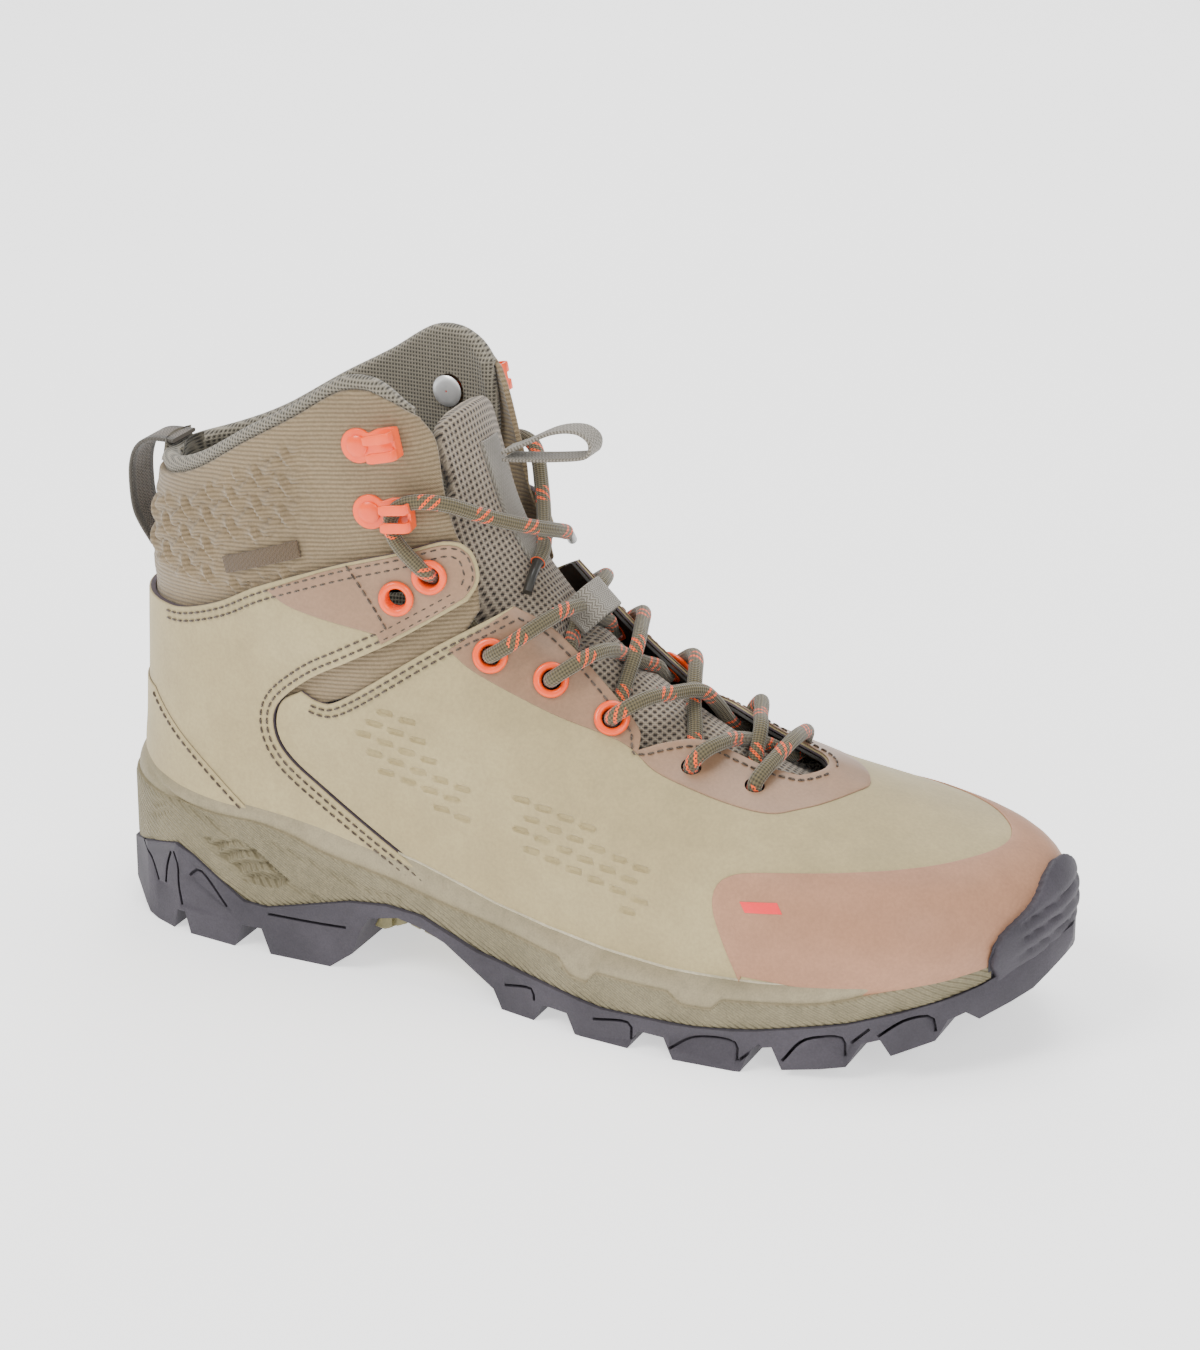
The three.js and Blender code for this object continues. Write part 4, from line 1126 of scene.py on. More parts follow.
for name, side in (("lateral", -1), ("medial", 1)):
    here = (lambda loop: loop) if side < 0 else mirrored
    panel(f"rear_quarter_skin_{name}", here(rear_loop), 2.0, 0.0, [NUBUCK, CUT_EDGE], edge=0.5,
          holes=[(*hole_at(i, side), 4.0) for i in (5, 6)], replaces=[f"rear_quarter_{name}"],
          slot="nubuck")
    panel(f"strap_film_{name}", here(strap_film), 2.5, 2.03, [FILM, CUT_EDGE], edge=0.35,
          holes=[(*hole_at(i, side), 4.0) for i in (5, 6)], replaces=[f"strap_overlay_{name}"],
          slot="coated_film")
    panel(f"heel_panel_{name}", here(heel_loop), 2.6, 2.03, [NUBUCK, CUT_EDGE], edge=0.4,
          replaces=["heel_panel"], slot="nubuck")

# %% [markdown]
# ## Films over the eyestay and toe
# Both are thin coated layers that are pressed on, so they follow the nubuck and stand only half a
# millimetre proud.

# %%
film_front = place_line([place_of([[226, 69.4]])[0], (0.88, 3.57), (0.94, 3.65), (1, 3.66)])
eyestay_half = join(throat[::-1], side_line([[134.5, 119.6], [126.5, 113.5], [118, 107]]),
                    side_line([[118, 107], [127, 100.5], [149, 91], [171, 84], [183, 77.5], [196, 73.4],
                               [209, 70.4], [219, 69], [226, 69.4]]), film_front)
panel("eyestay_film", join(eyestay_half, mirrored(eyestay_half)[1:-1]), 1.62, 1.24, [FILM, CUT_EDGE],
      edge=0.3, holes=[(*hole_at(i, side), 3.0 if i < 2 else 4.0) for i in range(5) for side in (-1, 1)],
      replaces=["eyestay_overlay"], slot="coated_film")
toe_half = join(
    side_line([[219, 26], [214, 38], [210.5, 47], [210.5, 53], [214, 56.6], [222, 58.2], [246, 59.2],
               [262, 59.4]]),
    place_line([place_of([[262, 59.4]])[0], (0.9, 2.41), (0.95, 2.42), (1, 2.42)]),
)
toe_loop = join(toe_half, mirrored(toe_half)[1:], level_line(2 - toe_half[0][0], toe_half[0][0], 0.2))
panel("toe_film_skin", toe_loop, 1.62, 1.24, [TOE_FILM, TOE_FILM], edge=0.3,
      replaces=["toe_cap_film"], slot="coated_film")
MARK_OUTLINE = [[218.5, 50.6], [229.5, 51.6], [231.5, 48.8], [220.5, 47.8]]
mark = join(*[side_line([a, b], spacing=1.2) for a, b in
              zip(MARK_OUTLINE, MARK_OUTLINE[1:] + MARK_OUTLINE[:1])])
panel("toe_mark", mark, 1.80, 1.66, [MARK], edge=0.08, cell=1.5)
print("films laid")

# %% [markdown]
# ## Ankle cuff
# The cuff is one piece of ribbed cloth over foam, wrapped round the heel. Its rear half is quilted
# in wavy rows. The quilting is real relief, and it fades out towards the hooks.

# %%
COLLAR = [[6, 143], [19, 145.5], [33, 151], [52, 163], [69, 173], [83, 182], [92, 183.7], [100, 181.3],
          [107.5, 176.5]]
CUFF_FRONT = [[107.5, 176.5], [111.5, 169], [114.5, 155], [118, 142], [124, 130], [126, 119]]


def round_heel(half_line):
    """The same line on the inner side, carried on past the heel."""
    return np.stack([-half_line[::-1, 0], half_line[::-1, 1]], -1)


def smooth_between(value, low, high):
    t = np.clip((value - low) / (high - low), 0, 1)
    return t * t * (3 - 2 * t)


def quilt(u, level, base):
    x, z = base[:, 0], base[:, 2]
    inside = 1 - smooth_between(x, 66, 80)
    top_edge = np.interp(x, [0, 19, 33, 52, 69, 83], [140, 143, 148, 160, 170, 178])
    inside *= smooth_between(z, 113, 118) * (1 - smooth_between(z, top_edge - 7, top_edge - 2))
    from_label = np.abs((x - 58.5) * -0.347 + (z - 129) * 0.938)
    inside *= np.maximum(smooth_between(from_label, 3.2, 6.5), smooth_between(np.abs(x - 58.5), 14, 19))
    wave = z + 1.5 * np.sin(2 * math.pi * x / 9.5) + 0.10 * x
    row = np.floor(wave / 4.6)
    ridge = np.abs(np.sin(math.pi * wave / 4.6)) ** 0.8
    knot = 0.5 + 0.5 * np.cos(2 * math.pi * (x + 4.7 * np.mod(row, 2)) / 9.5)
    return inside * (2.3 * ridge * (0.2 + 0.8 * knot) - 0.5)


def cuff_height(u, level, base):
    z = base[:, 2]
    line = np.interp(base[:, 0], [0, 26, 59, 102, 119], [104, 105, 120.5, 135.5, 139])
    return -0.45 + 1.0 * smooth_between(z, line + 1, line + 9)


cuff_half = join(place_line([(0, 8.35), (0.07, 8.35), place_of([[6, 143]])[0]]), side_line(COLLAR),
                 side_line(CUFF_FRONT), side_line([[126, 119], [117, 106], [92, 91], [60, 80], [30, 84]]),
                 place_line([place_of([[30, 84]])[0], (0.12, 3.9), (0, 3.95)]))
cuff_loop = join(cuff_half, round_heel(cuff_half)[1:-1])
RIVETS = [(0.69, 7.8), (0.71, 8.8)]
HOOK_BACK = -6.0


def rivet_place(u, level, side):
    turn, spot = stand_on(u if side < 0 else 2 - u, level, 0.0, side)
    return nearest_on_last(spot + turn[:, 0] * HOOK_BACK, u - 0.03 if side < 0 else 2.03 - u, level)


cuff_holes = [(*hole_at(i, side), 4.0) for i in (5, 6) for side in (-1, 1)]
cuff_holes += [(*rivet_place(u, v, side), 1.9) for u, v in RIVETS for side in (-1, 1)]
cuff_holes = [(u if u < 1 else u - 2, v, r) for u, v, r in cuff_holes]
cuff = panel("quilted_cuff", cuff_loop, cuff_height, -1.35, [RIBBED], cell=1.15, edge=0.9, relief=quilt,
             holes=cuff_holes, replaces=["ankle_cuff"], slot="ribbed_fabric")

# %% [markdown]
# ## Lining and padded collar
# The lining is a soft mesh over foam. At the mouth it is turned outwards over the edge, so a round
# roll of mesh stands above the cuff. Inside it goes down to the sole.

# %%
ROLL = [[6, 148.5], [19, 150.5], [33, 156], [52, 167.5], [69, 177], [83, 186], [92, 187.3], [100, 184.5],
        [107, 179]]
collar_half = join(
    place_line([(0, 8.8), (0.07, 8.8), place_of([[6, 148.5]])[0]]), side_line(ROLL),
    side_line([[107, 179], [108.5, 170], [108.5, 158], [105, 146], [99, 132], [97, 116]]),
    place_line([place_of([[97, 116]])[0], (0.35, 4.6), (0, 4.6)]),
)
collar_loop = join(collar_half, round_heel(collar_half)[1:-1])


def roll_height(u, level, base):
    edge = np.interp(base[:, 0], [0, 19, 33, 52, 69, 83, 92, 107],
                     [143.5, 145.5, 151, 163, 173, 182, 183.7, 177])
    return -1.5 + 1.5 * smooth_between(base[:, 2], edge - 0.5, edge + 2.0)


collar = panel("padded_collar", collar_loop, roll_height, -6.0, [LINING_MESH], cell=1.8, edge=2.6,
               edge_under=2.4, holes=[(u, v, 5.3) for u, v, r in cuff_holes if r < 3],
               replaces=["foot_lining"], slot="lining_mesh")
lining_half = join(
    level_line(1, 0.0, 0.12), np.array([[0.0, 2.0], [0.0, 4.55]]),
    place_line([(0, 4.55), (0.35, 4.55), place_of([[97, 115]])[0]]),
    side_line([[97, 115], [106, 102], [128, 90], [150, 78], [178, 68], [200, 64], [222, 60], [234, 58]]),
    place_line([place_of([[234, 58]])[0], (0.95, 3.55), (1, 3.6)]),
)
lining_loop = join(lining_half, mirrored(lining_half)[1:-1])
foot = panel("foot_lining_skin", lining_loop, -3.0, -5.9, [LINING_MESH], cell=4.0, edge=0.9,
             edge_under=0.9, replaces=["foot_lining"], slot="lining_mesh")
facing_half = join(
    place_line([(1, 3.62), (0.95, 3.66), place_of([[205, 62]])[0]]),
    side_line([[205, 62], [180, 68], [150, 80], [126, 95], [119.5, 104.5], [127, 114.5], [133.5, 119.5]]),
    throat[:len(throat) - 2], place_line([throat[-3], (0.95, 4.0), (1, 4.01)]),
)
panel("eyestay_backing", join(facing_half, mirrored(facing_half)[1:-1]), -0.4, -1.3, [DARK_BACKING],
      edge=0.3, holes=[(*hole_at(i, side), 3.0 if i < 2 else 4.0) for i in range(5) for side in (-1, 1)],
      replaces=["eyestay_facing"], slot="lining_mesh")

# %% [markdown]
# ## Tongue
# The tongue is one padded strip of spacer mesh. It crosses the fold between the boot and its
# top part, so it is attached to no body. Where the lace is pulled across it, the foam is pressed down.

# %%
def lace_dent(u, level, base, height):
    """Lowers the surface under the lace, in a soft valley."""
    normal = last_normal(u, level)
    near = lace_line[(lace_line[:, 0] > 100) & (lace_line[:, 2] > 60)][::2]
    out = height.copy()
    for start in range(0, len(base), 2000):
        part = slice(start, start + 2000)
        gap = near[None] - (base[part] + normal[part] * height[part, None])[:, None]
        lift = (gap * normal[part][:, None]).sum(-1)
        aside = np.linalg.norm(gap - lift[..., None] * normal[part][:, None], axis=-1)
        limit = height[part][:, None] + lift - LACE_RADIUS - 0.25 + 0.10 * aside ** 2
        limit = np.where(aside < 9, limit, 99.0)
        out[part] = np.minimum(out[part], limit.min(1))
    return out


def tongue_height(u, level, base):
    crown = 1.5 * np.clip(1 - (base[:, 1] / 15) ** 2, 0, 1)
    swell = 0.8 * smooth_between(level, 7.6, 8.4)
    return lace_dent(u, level, base, -6.4 + crown + swell)


tongue_half = join(
    place_line([(1, 3.72), (0.93, 3.66), place_of([[232, 58]])[0]]),
    side_line([[232, 58], [222, 60], [200, 65], [178, 71], [158, 84], [140, 98], [124, 112], [117, 122],
               [113.5, 132], [113.2, 142]]),
    place_line([place_of([[113.2, 142]])[0], (0.858, 8.0), (0.866, 8.45), (0.885, 8.72), (0.935, 8.86),
                (1, 8.9)]),
)
tongue_piece = panel(
    "padded_tongue", join(tongue_half, mirrored(tongue_half)[1:-1]), tongue_height, -11.0, [TONGUE_MESH],
    cell=1.5, edge=2.2, edge_under=2.0, replaces=["tongue", "tongue_top"], slot="tongue_mesh", body=None,
)


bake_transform(tongue_piece)
strip_loop = join(place_line([(0.957, 6.95), (0.967, 8.42)], 1.5), place_line([(0.967, 8.42),
                  (1.033, 8.42)], 1.5), place_line([(1.033, 8.42), (1.043, 6.95)], 1.5),
                  place_line([(1.043, 6.95), (0.957, 6.95)], 1.5))
strip = panel("tongue_strip", strip_loop, lambda u, v, b: tongue_height(u, v, b) + 1.1,
              lambda u, v, b: tongue_height(u, v, b) + 0.15, [WEBBING], cell=1.5, edge=0.4,
              replaces=["tongue_webbing"], slot="webbing", body=None)
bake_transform(strip)
ribbon("tongue_pull_tape",
       [[122.6, 0, 160.5], [128.2, 0, 163.1], [138.2, 0, 168.4], [146, 0, 169.9], [150.4, 0, 168.1],
        [151.2, 0, 165.1], [149.1, 0, 162.4], [140, 0, 160.5], [128, 0, 158.9], [122.9, 0, 158.4]],
       (0, 1, 0), 9, 1.1, [WEBBING], body="pull_loop", replaces=["tongue_pull_loop"], slot="webbing")
keeper_places = np.linalg.norm(RIDGE - [139, 0, 103], axis=1)
KEEPER_LEVEL = RIDGE_LEVELS[keeper_places.argmin()]
KEEPER_FOOT = last_point(1.0, KEEPER_LEVEL)
ridge_turn = math.atan2(*last_normal(1.0, KEEPER_LEVEL)[[0, 2]])


def keeper_point(y, height):
    n = np.array([math.sin(ridge_turn), 0, math.cos(ridge_turn)])
    return KEEPER_FOOT + n * height + np.array([0, y, 0])


ribbon("keeper_tape",
       [keeper_point(y, h) for y, h in
        [(-9.6, -3.1), (-7.3, -2.6), (-6.4, 0.6), (-5.6, 3.6), (-4.2, 4.35), (0, 4.4), (4.2, 4.35),
         (5.6, 3.6), (6.4, 0.6), (7.3, -2.6), (9.6, -3.1)]],
       (math.cos(ridge_turn), 0, -math.sin(ridge_turn)), 11, 1.0, [WEBBING],
       replaces=["lace_keeper"], slot="webbing")
ribbon("heel_pull_tape",
       [[12, 0, 150.2], [3.4, 0, 149.7], [-1.4, 0, 146.6], [-3.6, 0, 141], [-3.9, 0, 134], [-3.2, 0, 127],
        [-1.3, 0, 122.3], [3.1, 0, 115.8]], (0, 1, 0), 14, 1.3, [HEEL_WEBBING],
       replaces=["heel_pull_loop"], slot="webbing")
label = join(*[side_line([a, b], spacing=1.5) for a, b in
               (([46, 121.5], [73, 131.5]), ([73, 131.5], [71.5, 136.5]), ([71.5, 136.5], [44.5, 126.5]),
                ([44.5, 126.5], [46, 121.5]))])
panel("side_label", label, 1.9, 1.2, [LABEL_WEAVE], edge=0.3, cell=1.5, replaces=["woven_label"],
      slot="webbing")

# %% [markdown]
# ## Lace
# The braid lies on the line found above. Its ends are sealed in short plastic tips and are tucked
# under the lacing.

# %%
TIP = 16
tube("braided_lace", lace_line[TIP - 2:2 - TIP], LACE_RADIUS, 18, [LACE], replaces=["lace"],
     slot="lace_cord", smooth=60)
for name, part in (("lateral", lace_line[:TIP]), ("medial", lace_line[-TIP:][::-1])):
    swell = 1.5 + 0.75 * smooth_between(np.arange(TIP), TIP - 4, TIP - 1)
    tube(f"lace_tip_{name}", part, swell, 18, [AGLET], slot="lace_cord")

# %% [markdown]
# ## Eyelets, hooks, rivets and washers
# Eyelets are turned rings whose flange is rolled over the film. A hook is bent from one plate: a
# round foot under the rivet, then a step up, and two fingers that point back over the lace.

# %%
EYELET_RING = [[2.95, -1.6], [3.7, -1.6], [3.75, 1.9], [5.0, 2.05], [5.3, 2.4], [5.25, 2.85], [4.9, 3.2],
               [4.3, 3.4], [3.7, 3.35], [3.25, 3.05], [3.0, 2.5]]
for name, side in (("lateral", -1), ("medial", 1)):
    for index in range(2, 7):
        u, level = hole_at(index, side)
        lift = 0.75 if index > 4 else 0.0
        turn, spot = stand_on(u, level, lift, side)
        turned(f"eyelet_ring_{index + 1}_{name}", EYELET_RING, spot, turn, [ORANGE],
               replaces=[f"eyelet_{index + 1}_{name}"], slot="orange_lacquer")

RIVET_DOME = [[0, -7.3], [1.5, -7.3], [1.5, 1.3], [3.0, 1.3], [3.35, 1.5], [3.3, 1.85], [2.7, 2.25],
              [1.7, 2.5], [0.8, 2.58], [0, 2.6]]
WASHER_RING = [[0.35, -7.75], [3.2, -7.8], [4.5, -7.55], [4.95, -7.2], [4.8, -6.75], [1.6, -6.7],
               [1.6, -7.4], [0.35, -7.45]]


def hook(name, turn, spot, **place):
    """A lace hook bent from a plate 1.1 mm thick; X points up the boot, Z away from it."""
    bm = bmesh.new()
    outline_points = []
    for a in np.linspace(math.radians(38), math.radians(322), 22):
        outline_points.append((HOOK_BACK + 5.3 * math.cos(a), 5.3 * math.sin(a)))
    outline_points += [(1.5, -4.3), (6.6, -4.3), (6.6, 4.3), (1.5, 4.3)]
    lower = [bm.verts.new((x, y, 0.15)) for x, y in outline_points]
    upper = [bm.verts.new((x, y, 1.25)) for x, y in outline_points]
    bm.faces.new(upper)
    bm.faces.new(lower[::-1])
    for i in range(len(lower)):
        j = (i + 1) % len(lower)
        bm.faces.new((lower[i], lower[j], upper[j], upper[i]))
    bend = [(5.4, 0.7), (6.9, 0.9), (7.75, 1.8), (7.8, 4.4), (7.8, 7.0), (7.2, 8.0), (5.8, 8.3),
            (2.6, 8.3), (0.4, 8.3), (-0.6, 8.05)]
    path = smooth_line(bend, 0.45)
    tangent = unit(np.gradient(path, axis=0))
    normal = np.stack([-tangent[:, 1], tangent[:, 0]], -1)
    for low, high, first in ((-4.3, 4.3, 0), (-4.3, -1.15, 14), (1.15, 4.3, 14)):
        last_step = 17 if first == 0 else len(path)
        rings = []
        for i in range(first, last_step):
            squeeze = 1.0
            if first:
                squeeze = 1.0 - 0.35 * smooth_between(i, len(path) - 5, len(path) + 1)
            middle, half_width = (low + high) / 2, (high - low) / 2 * squeeze
            (x, z), (nx, nz) = path[i], normal[i] * 0.55
            corners = [(x + nx, middle - half_width, z + nz), (x + nx, middle + half_width, z + nz),
                       (x - nx, middle + half_width, z - nz), (x - nx, middle - half_width, z - nz)]
            rings.append([bm.verts.new(c) for c in corners])
        for a, b in zip(rings, rings[1:]):
            for j in range(4):
                k = (j + 1) % 4
                bm.faces.new((a[j], a[k], b[k], b[j]))
        bm.faces.new(rings[0][::-1])
        bm.faces.new(rings[-1])
    bmesh.ops.recalc_face_normals(bm, faces=bm.faces)
    sharp = [e for e in bm.edges if len(e.link_faces) == 2 and e.calc_face_angle(0) > 0.9]
    bmesh.ops.bevel(bm, geom=sharp, offset=0.32, offset_type="OFFSET", segments=3, profile=0.5,
                    affect="EDGES", material=-1)
    for v in bm.verts:
        v.co = Vector((turn @ np.array(v.co) + spot + ORIGIN) * MM)
    return finish_piece(new_object(name, bm, [ORANGE]), **place)


for height, (u, level) in zip(("lower", "upper"), RIVETS):
    for name, side in (("lateral", -1), ("medial", 1)):
        turn, spot = stand_on(u if side < 0 else 2 - u, level, 0.0, side)
        hook(f"{height}_hook_plate_{name}", turn, spot, replaces=[f"{height}_hook_{name}"],
             slot="orange_lacquer")
        rivet_spot = spot + turn[:, 0] * HOOK_BACK
        turned(f"{height}_rivet_{name}", RIVET_DOME, rivet_spot, turn, [ORANGE],
               replaces=[f"{height}_hook_rivet_{name}"], slot="orange_lacquer")
        turned(f"{height}_washer_{name}", WASHER_RING, rivet_spot, turn, [STEEL],
               replaces=[f"{height}_hook_washer_{name}"], slot="washer_steel")

# %% [markdown]
# ## Stitching
# Seams are what hold the upper together: double rows along the strap and the rear quarters, one
# row round the throat, a row along each heel panel's edge and a short row across the strap.

# %%
strap_top_seam = join(strap_top, side_line(NOSE))
for name, side in (("lateral", -1), ("medial", 1)):
    flip = (lambda line: line) if side < 0 else mirrored
    low_seam = strap_low[:-3]
    rows = []
    for distance in (1.9, 4.3):
        rows.append((flip(inset(strap_top_seam, -distance, closed=False)[2:-1]), 2.25))
        rows.append((flip(inset(low_seam, -distance, closed=False)[1:]), 2.1))
    stitches(f"strap_stitches_{name}", rows, THREAD, slot="nubuck")
    top_edge = side_line(QUARTER_TOP)
    rows = [(flip(inset(top_edge, -d, closed=False)[2:]), 1.45) for d in (1.8, 3.9)]
    rows.append((flip(inset(throat, -2.6, closed=False)[1:-2]), 1.78))
    stitches(f"quarter_stitches_{name}", rows, THREAD, slot="nubuck")
    cross = side_line([[87, 131.5], [95, 120], [101, 110.5]])
    heel_rows = [(flip(inset(side_line(heel_line), -1.6, closed=False)), 2.75), (flip(cross), 2.65)]
    stitches(f"panel_stitches_{name}", heel_rows, THREAD, slot="nubuck")
print("seams sewn")

# %% [markdown]
# ## Midsole
# The midsole is one ring of foam that cups the upper. It is lofted here: at each station round the
# sole a section rises from the outsole, steps in at the ledge, and leans in until it meets the
# upper at the glue line. Creases, the ribbed recess and the ledge's notches are part of the section.

# %%
SOLE_PLAN = np.array([
    [-6, 0], [-2.3, -15.5], [10, -29], [25, -36], [50, -39.5], [80, -40], [110, -41], [140, -45],
    [170, -52], [200, -55], [220, -54.5], [245, -49.5], [265, -42], [280, -32], [292, -18], [299, -6],
    [302, 6], [299, 18], [291, 31], [280, 41], [265, 48], [245, 51], [220, 51.5], [200, 49.5],
    [170, 44], [140, 37], [110, 33.5], [80, 35], [50, 36.5], [25, 34], [10, 28], [-2.3, 15.5],
], float)
MIDSOLE_BOTTOM = np.array([
    [-6, 18], [-2, 20], [12, 26], [24, 29.5], [31, 27], [41, 21], [50, 16], [58, 15.5], [72, 19],
    [87, 23], [100, 24.3], [112, 23.3], [123, 19.5], [132, 16.5], [148, 14], [177, 10.5],
    [207, 11.5], [226, 13.5], [252, 18], [275, 24.5], [285, 28], [292, 32],
])
MIDSOLE_TOP = np.array([
    [-12, 54.5], [7, 53], [14, 50.5], [25, 49], [52, 48], [76, 46.5], [110, 40], [137, 32],
    [155, 28.5], [175, 26.2], [197, 25.3], [225, 26.5], [259, 30.5], [286.2, 36], [300, 38],
])
LEDGE = smooth_line([
    [-8, 44], [20, 43.5], [40, 42.5], [54, 42.6], [66, 40.6], [77, 37], [100, 32.6], [117, 28.8],
    [140, 25.2], [158, 22.6], [175, 20.8], [200, 20.6], [225, 21.6], [245, 23.4], [262, 28.2],
    [287, 34.6], [300, 36],
], 2.0)
NOTCHES = [(160, 165, 170.5, 174.5, 4.2), (197, 203, 211.5, 216, 3.4)]
MIDSOLE_INSET = 0.975
FRONT_END = 287.0


def ledge_height(x):
    height = np.interp(x, LEDGE[:, 0], LEDGE[:, 1])
    for start, floor, rise, end, depth in NOTCHES:
        height = height - depth * (smooth_between(x, start, floor) - smooth_between(x, rise, end))
    return height


plan = np.stack([148 + (SOLE_PLAN[:, 0] - 148) * 0.993, SOLE_PLAN[:, 1] * MIDSOLE_INSET], -1)
plan = np.vstack([plan[16:], plan[:17]])
stations = smooth_line(plan, 0.9)
stations = stations[stations[:, 0] < FRONT_END]
outward = np.gradient(stations, axis=0)
outward = unit(np.stack([outward[:, 1], -outward[:, 0]], -1))
outward *= np.sign((outward * (stations - [148, 0])).sum(-1).mean())
print("midsole stations:", len(stations))


def rim_places(u):
    """The places where the midsole's top line runs round the last."""
    low, high = np.zeros(len(u)), np.full(len(u), 4.0)
    for _ in range(30):
        middle = (low + high) / 2
        p = last_point(u, middle)
        below = p[:, 2] < np.interp(p[:, 0], MIDSOLE_TOP[:, 0], MIDSOLE_TOP[:, 1])
        low, high = np.where(below, middle, low), np.where(below, high, middle)
    return middle


rim_u = np.linspace(-0.97, 0.97, 1600)
rim_level = rim_places(rim_u)
rim_points = on_last(rim_u, rim_level, 1.35)
nearest = [np.argmin(((rim_points[:, :2] - s) ** 2).sum(-1)) for s in stations]
nearest = np.array(nearest)
for _ in range(8):
    middle = (nearest[:-2] + 2 * nearest[1:-1] + nearest[2:]) / 4
    nearest = np.concatenate([nearest[:1], middle, nearest[-1:]])
station_u = np.interp(nearest, np.arange(len(rim_u)), rim_u)
station_level = rim_places(station_u)

# %%
CREASES = [
    ([[8, 48.5], [14, 46.8], [21, 44.3], [40, 39.3], [54.4, 31.9], [66, 24.4], [76, 21.2]], 1.1, 0.9),
    ([[46.6, 38.6], [46.8, 40.3]], 0.4, 0.7),
    ([[60, 37.5], [74, 33.5], [90, 28.5], [104, 26.6]], 0.7, 0.9),
    ([[14.8, 39.2], [18.9, 41.5]], 0.6, 0.8), ([[13.5, 35.4], [20.6, 39.2]], 0.6, 0.8),
]
RECESS = [[33.5, 34], [43.9, 36.6], [54.4, 34.0], [66, 25.4], [62, 22.6], [50.7, 22.0], [39.8, 28.6]]
RECESS_RIBS = [
    [[36.5, 32.2], [40, 34.6], [44, 35]], [[39.5, 29.6], [44.5, 32.6], [50.5, 33.4]],
    [[43, 26.6], [49, 30], [56, 30.6]], [[47.2, 23.8], [54, 26.8], [61, 27.2]],
]
RECESS_DEPTH = 2.8


def distance_to(x, z, line):
    """Side-view distance in mm from points to an open line."""
    best = np.full(np.shape(x), 1e9)
    for (x0, z0), (x1, z1) in zip(line[:-1], line[1:]):
        reach = (x - x0) * (x1 - x0) + (z - z0) * (z1 - z0)
        t = np.clip(reach / ((x1 - x0) ** 2 + (z1 - z0) ** 2), 0, 1)
        best = np.minimum(best, np.hypot(x - x0 - t * (x1 - x0), z - z0 - t * (z1 - z0)))
    return best


def inside_all(x, z, polygon):
    hit = np.zeros(np.shape(x), bool)
    for (x0, z0), (x1, z1) in zip(polygon, polygon[1:] + polygon[:1]):
        if z0 != z1:
            crosses = ((z0 > z) != (z1 > z)) & (x < x0 + (z - z0) / (z1 - z0) * (x1 - x0))
            hit ^= crosses
    return hit


def wall_relief(x, z):
    """How far the midsole's wall stands in (-) or out (+) of its plain face, in mm."""
    out = np.zeros(np.shape(x))
    for line, depth, width in CREASES:
        out -= depth * np.exp(-(distance_to(x, z, smooth_line(line, 1.5)) / width) ** 2)
    edge = distance_to(x, z, RECESS + RECESS[:1])
    pocket = np.where(inside_all(x, z, RECESS), smooth_between(edge, 0, 1.6), 0.0)
    ribs = np.zeros(np.shape(x))
    for line in RECESS_RIBS:
        ribs = np.maximum(ribs, np.exp(-(distance_to(x, z, smooth_line(line, 1.0)) / 1.15) ** 2))
    return out - RECESS_DEPTH * pocket * (1 - 0.8 * ribs)


LOW_ROWS, HIGH_ROWS, STEP_IN = 30, 16, 1.2
x, y = stations[:, 0], stations[:, 1]
z_low = np.interp(x, MIDSOLE_BOTTOM[:, 0], MIDSOLE_BOTTOM[:, 1]) + 0.1
z_ledge = np.maximum(ledge_height(x), z_low + 1.2)
rim = on_last(station_u, station_level, 1.35)
z_rim = rim[:, 2]
z_ledge = np.minimum(z_ledge, z_rim - 1.5)
section = [np.stack([x - outward[:, 0] * 9, y - outward[:, 1] * 9, z_low], -1)]
for t in np.linspace(0, 1, LOW_ROWS):
    z = z_low + (z_ledge - z_low) * t
    out = wall_relief(x, z) - 0.35 * smooth_between(t, 0.93, 1.0) - 0.3 * (1 - smooth_between(t, 0, 0.06))
    section.append(np.stack([x + outward[:, 0] * out, y + outward[:, 1] * out, z], -1))
for t in np.linspace(0, 1, HIGH_ROWS):
    z = z_ledge + 0.12 + (z_rim - z_ledge - 0.12) * t
    lean = t ** 1.7
    out = (wall_relief(x, z) - STEP_IN) * (1 - t)
    point = np.stack([x + outward[:, 0] * out, y + outward[:, 1] * out], -1)
    section.append(np.concatenate([point + (rim[:, :2] - point) * lean, z[:, None]], -1))
bead = on_last(station_u, np.minimum(station_level + 0.035, 10), 1.55)
section += [bead, on_last(station_u, station_level + 0.05, 1.0), on_last(station_u, station_level, 0.3),
            on_last(station_u, np.maximum(station_level - 0.5, 0.0), -0.2)]
rings = np.stack(section, 1)
COLUMNS = rings.shape[1]
midsole = grid_mesh("moulded_midsole", rings, lambda i, j: (i * 0.9 * MM, j * MM),
                    [MIDSOLE, MIDSOLE_BAND, GLUE_LINE], body=None)
for face in midsole.data.polygons:
    column = (face.index % COLUMNS) if face.index < (len(rings) - 1) * COLUMNS else 0
    if LOW_ROWS <= column < LOW_ROWS + HIGH_ROWS:
        face.material_index = 1
    elif LOW_ROWS + HIGH_ROWS <= column < COLUMNS - 2:
        face.material_index = 2
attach(midsole, "boot")
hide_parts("midsole")

# %% [markdown]
# ## Outsole, toe bumper and arch insert
# The outsole already has its lugs in the CAD model. It is copied, its loose triangles are merged
# into faces, its moulded edges are rounded, and the thin parting grooves round the lugs are cut.
# The toe bumper is laid on the last like a thick panel, with five moulded grooves.


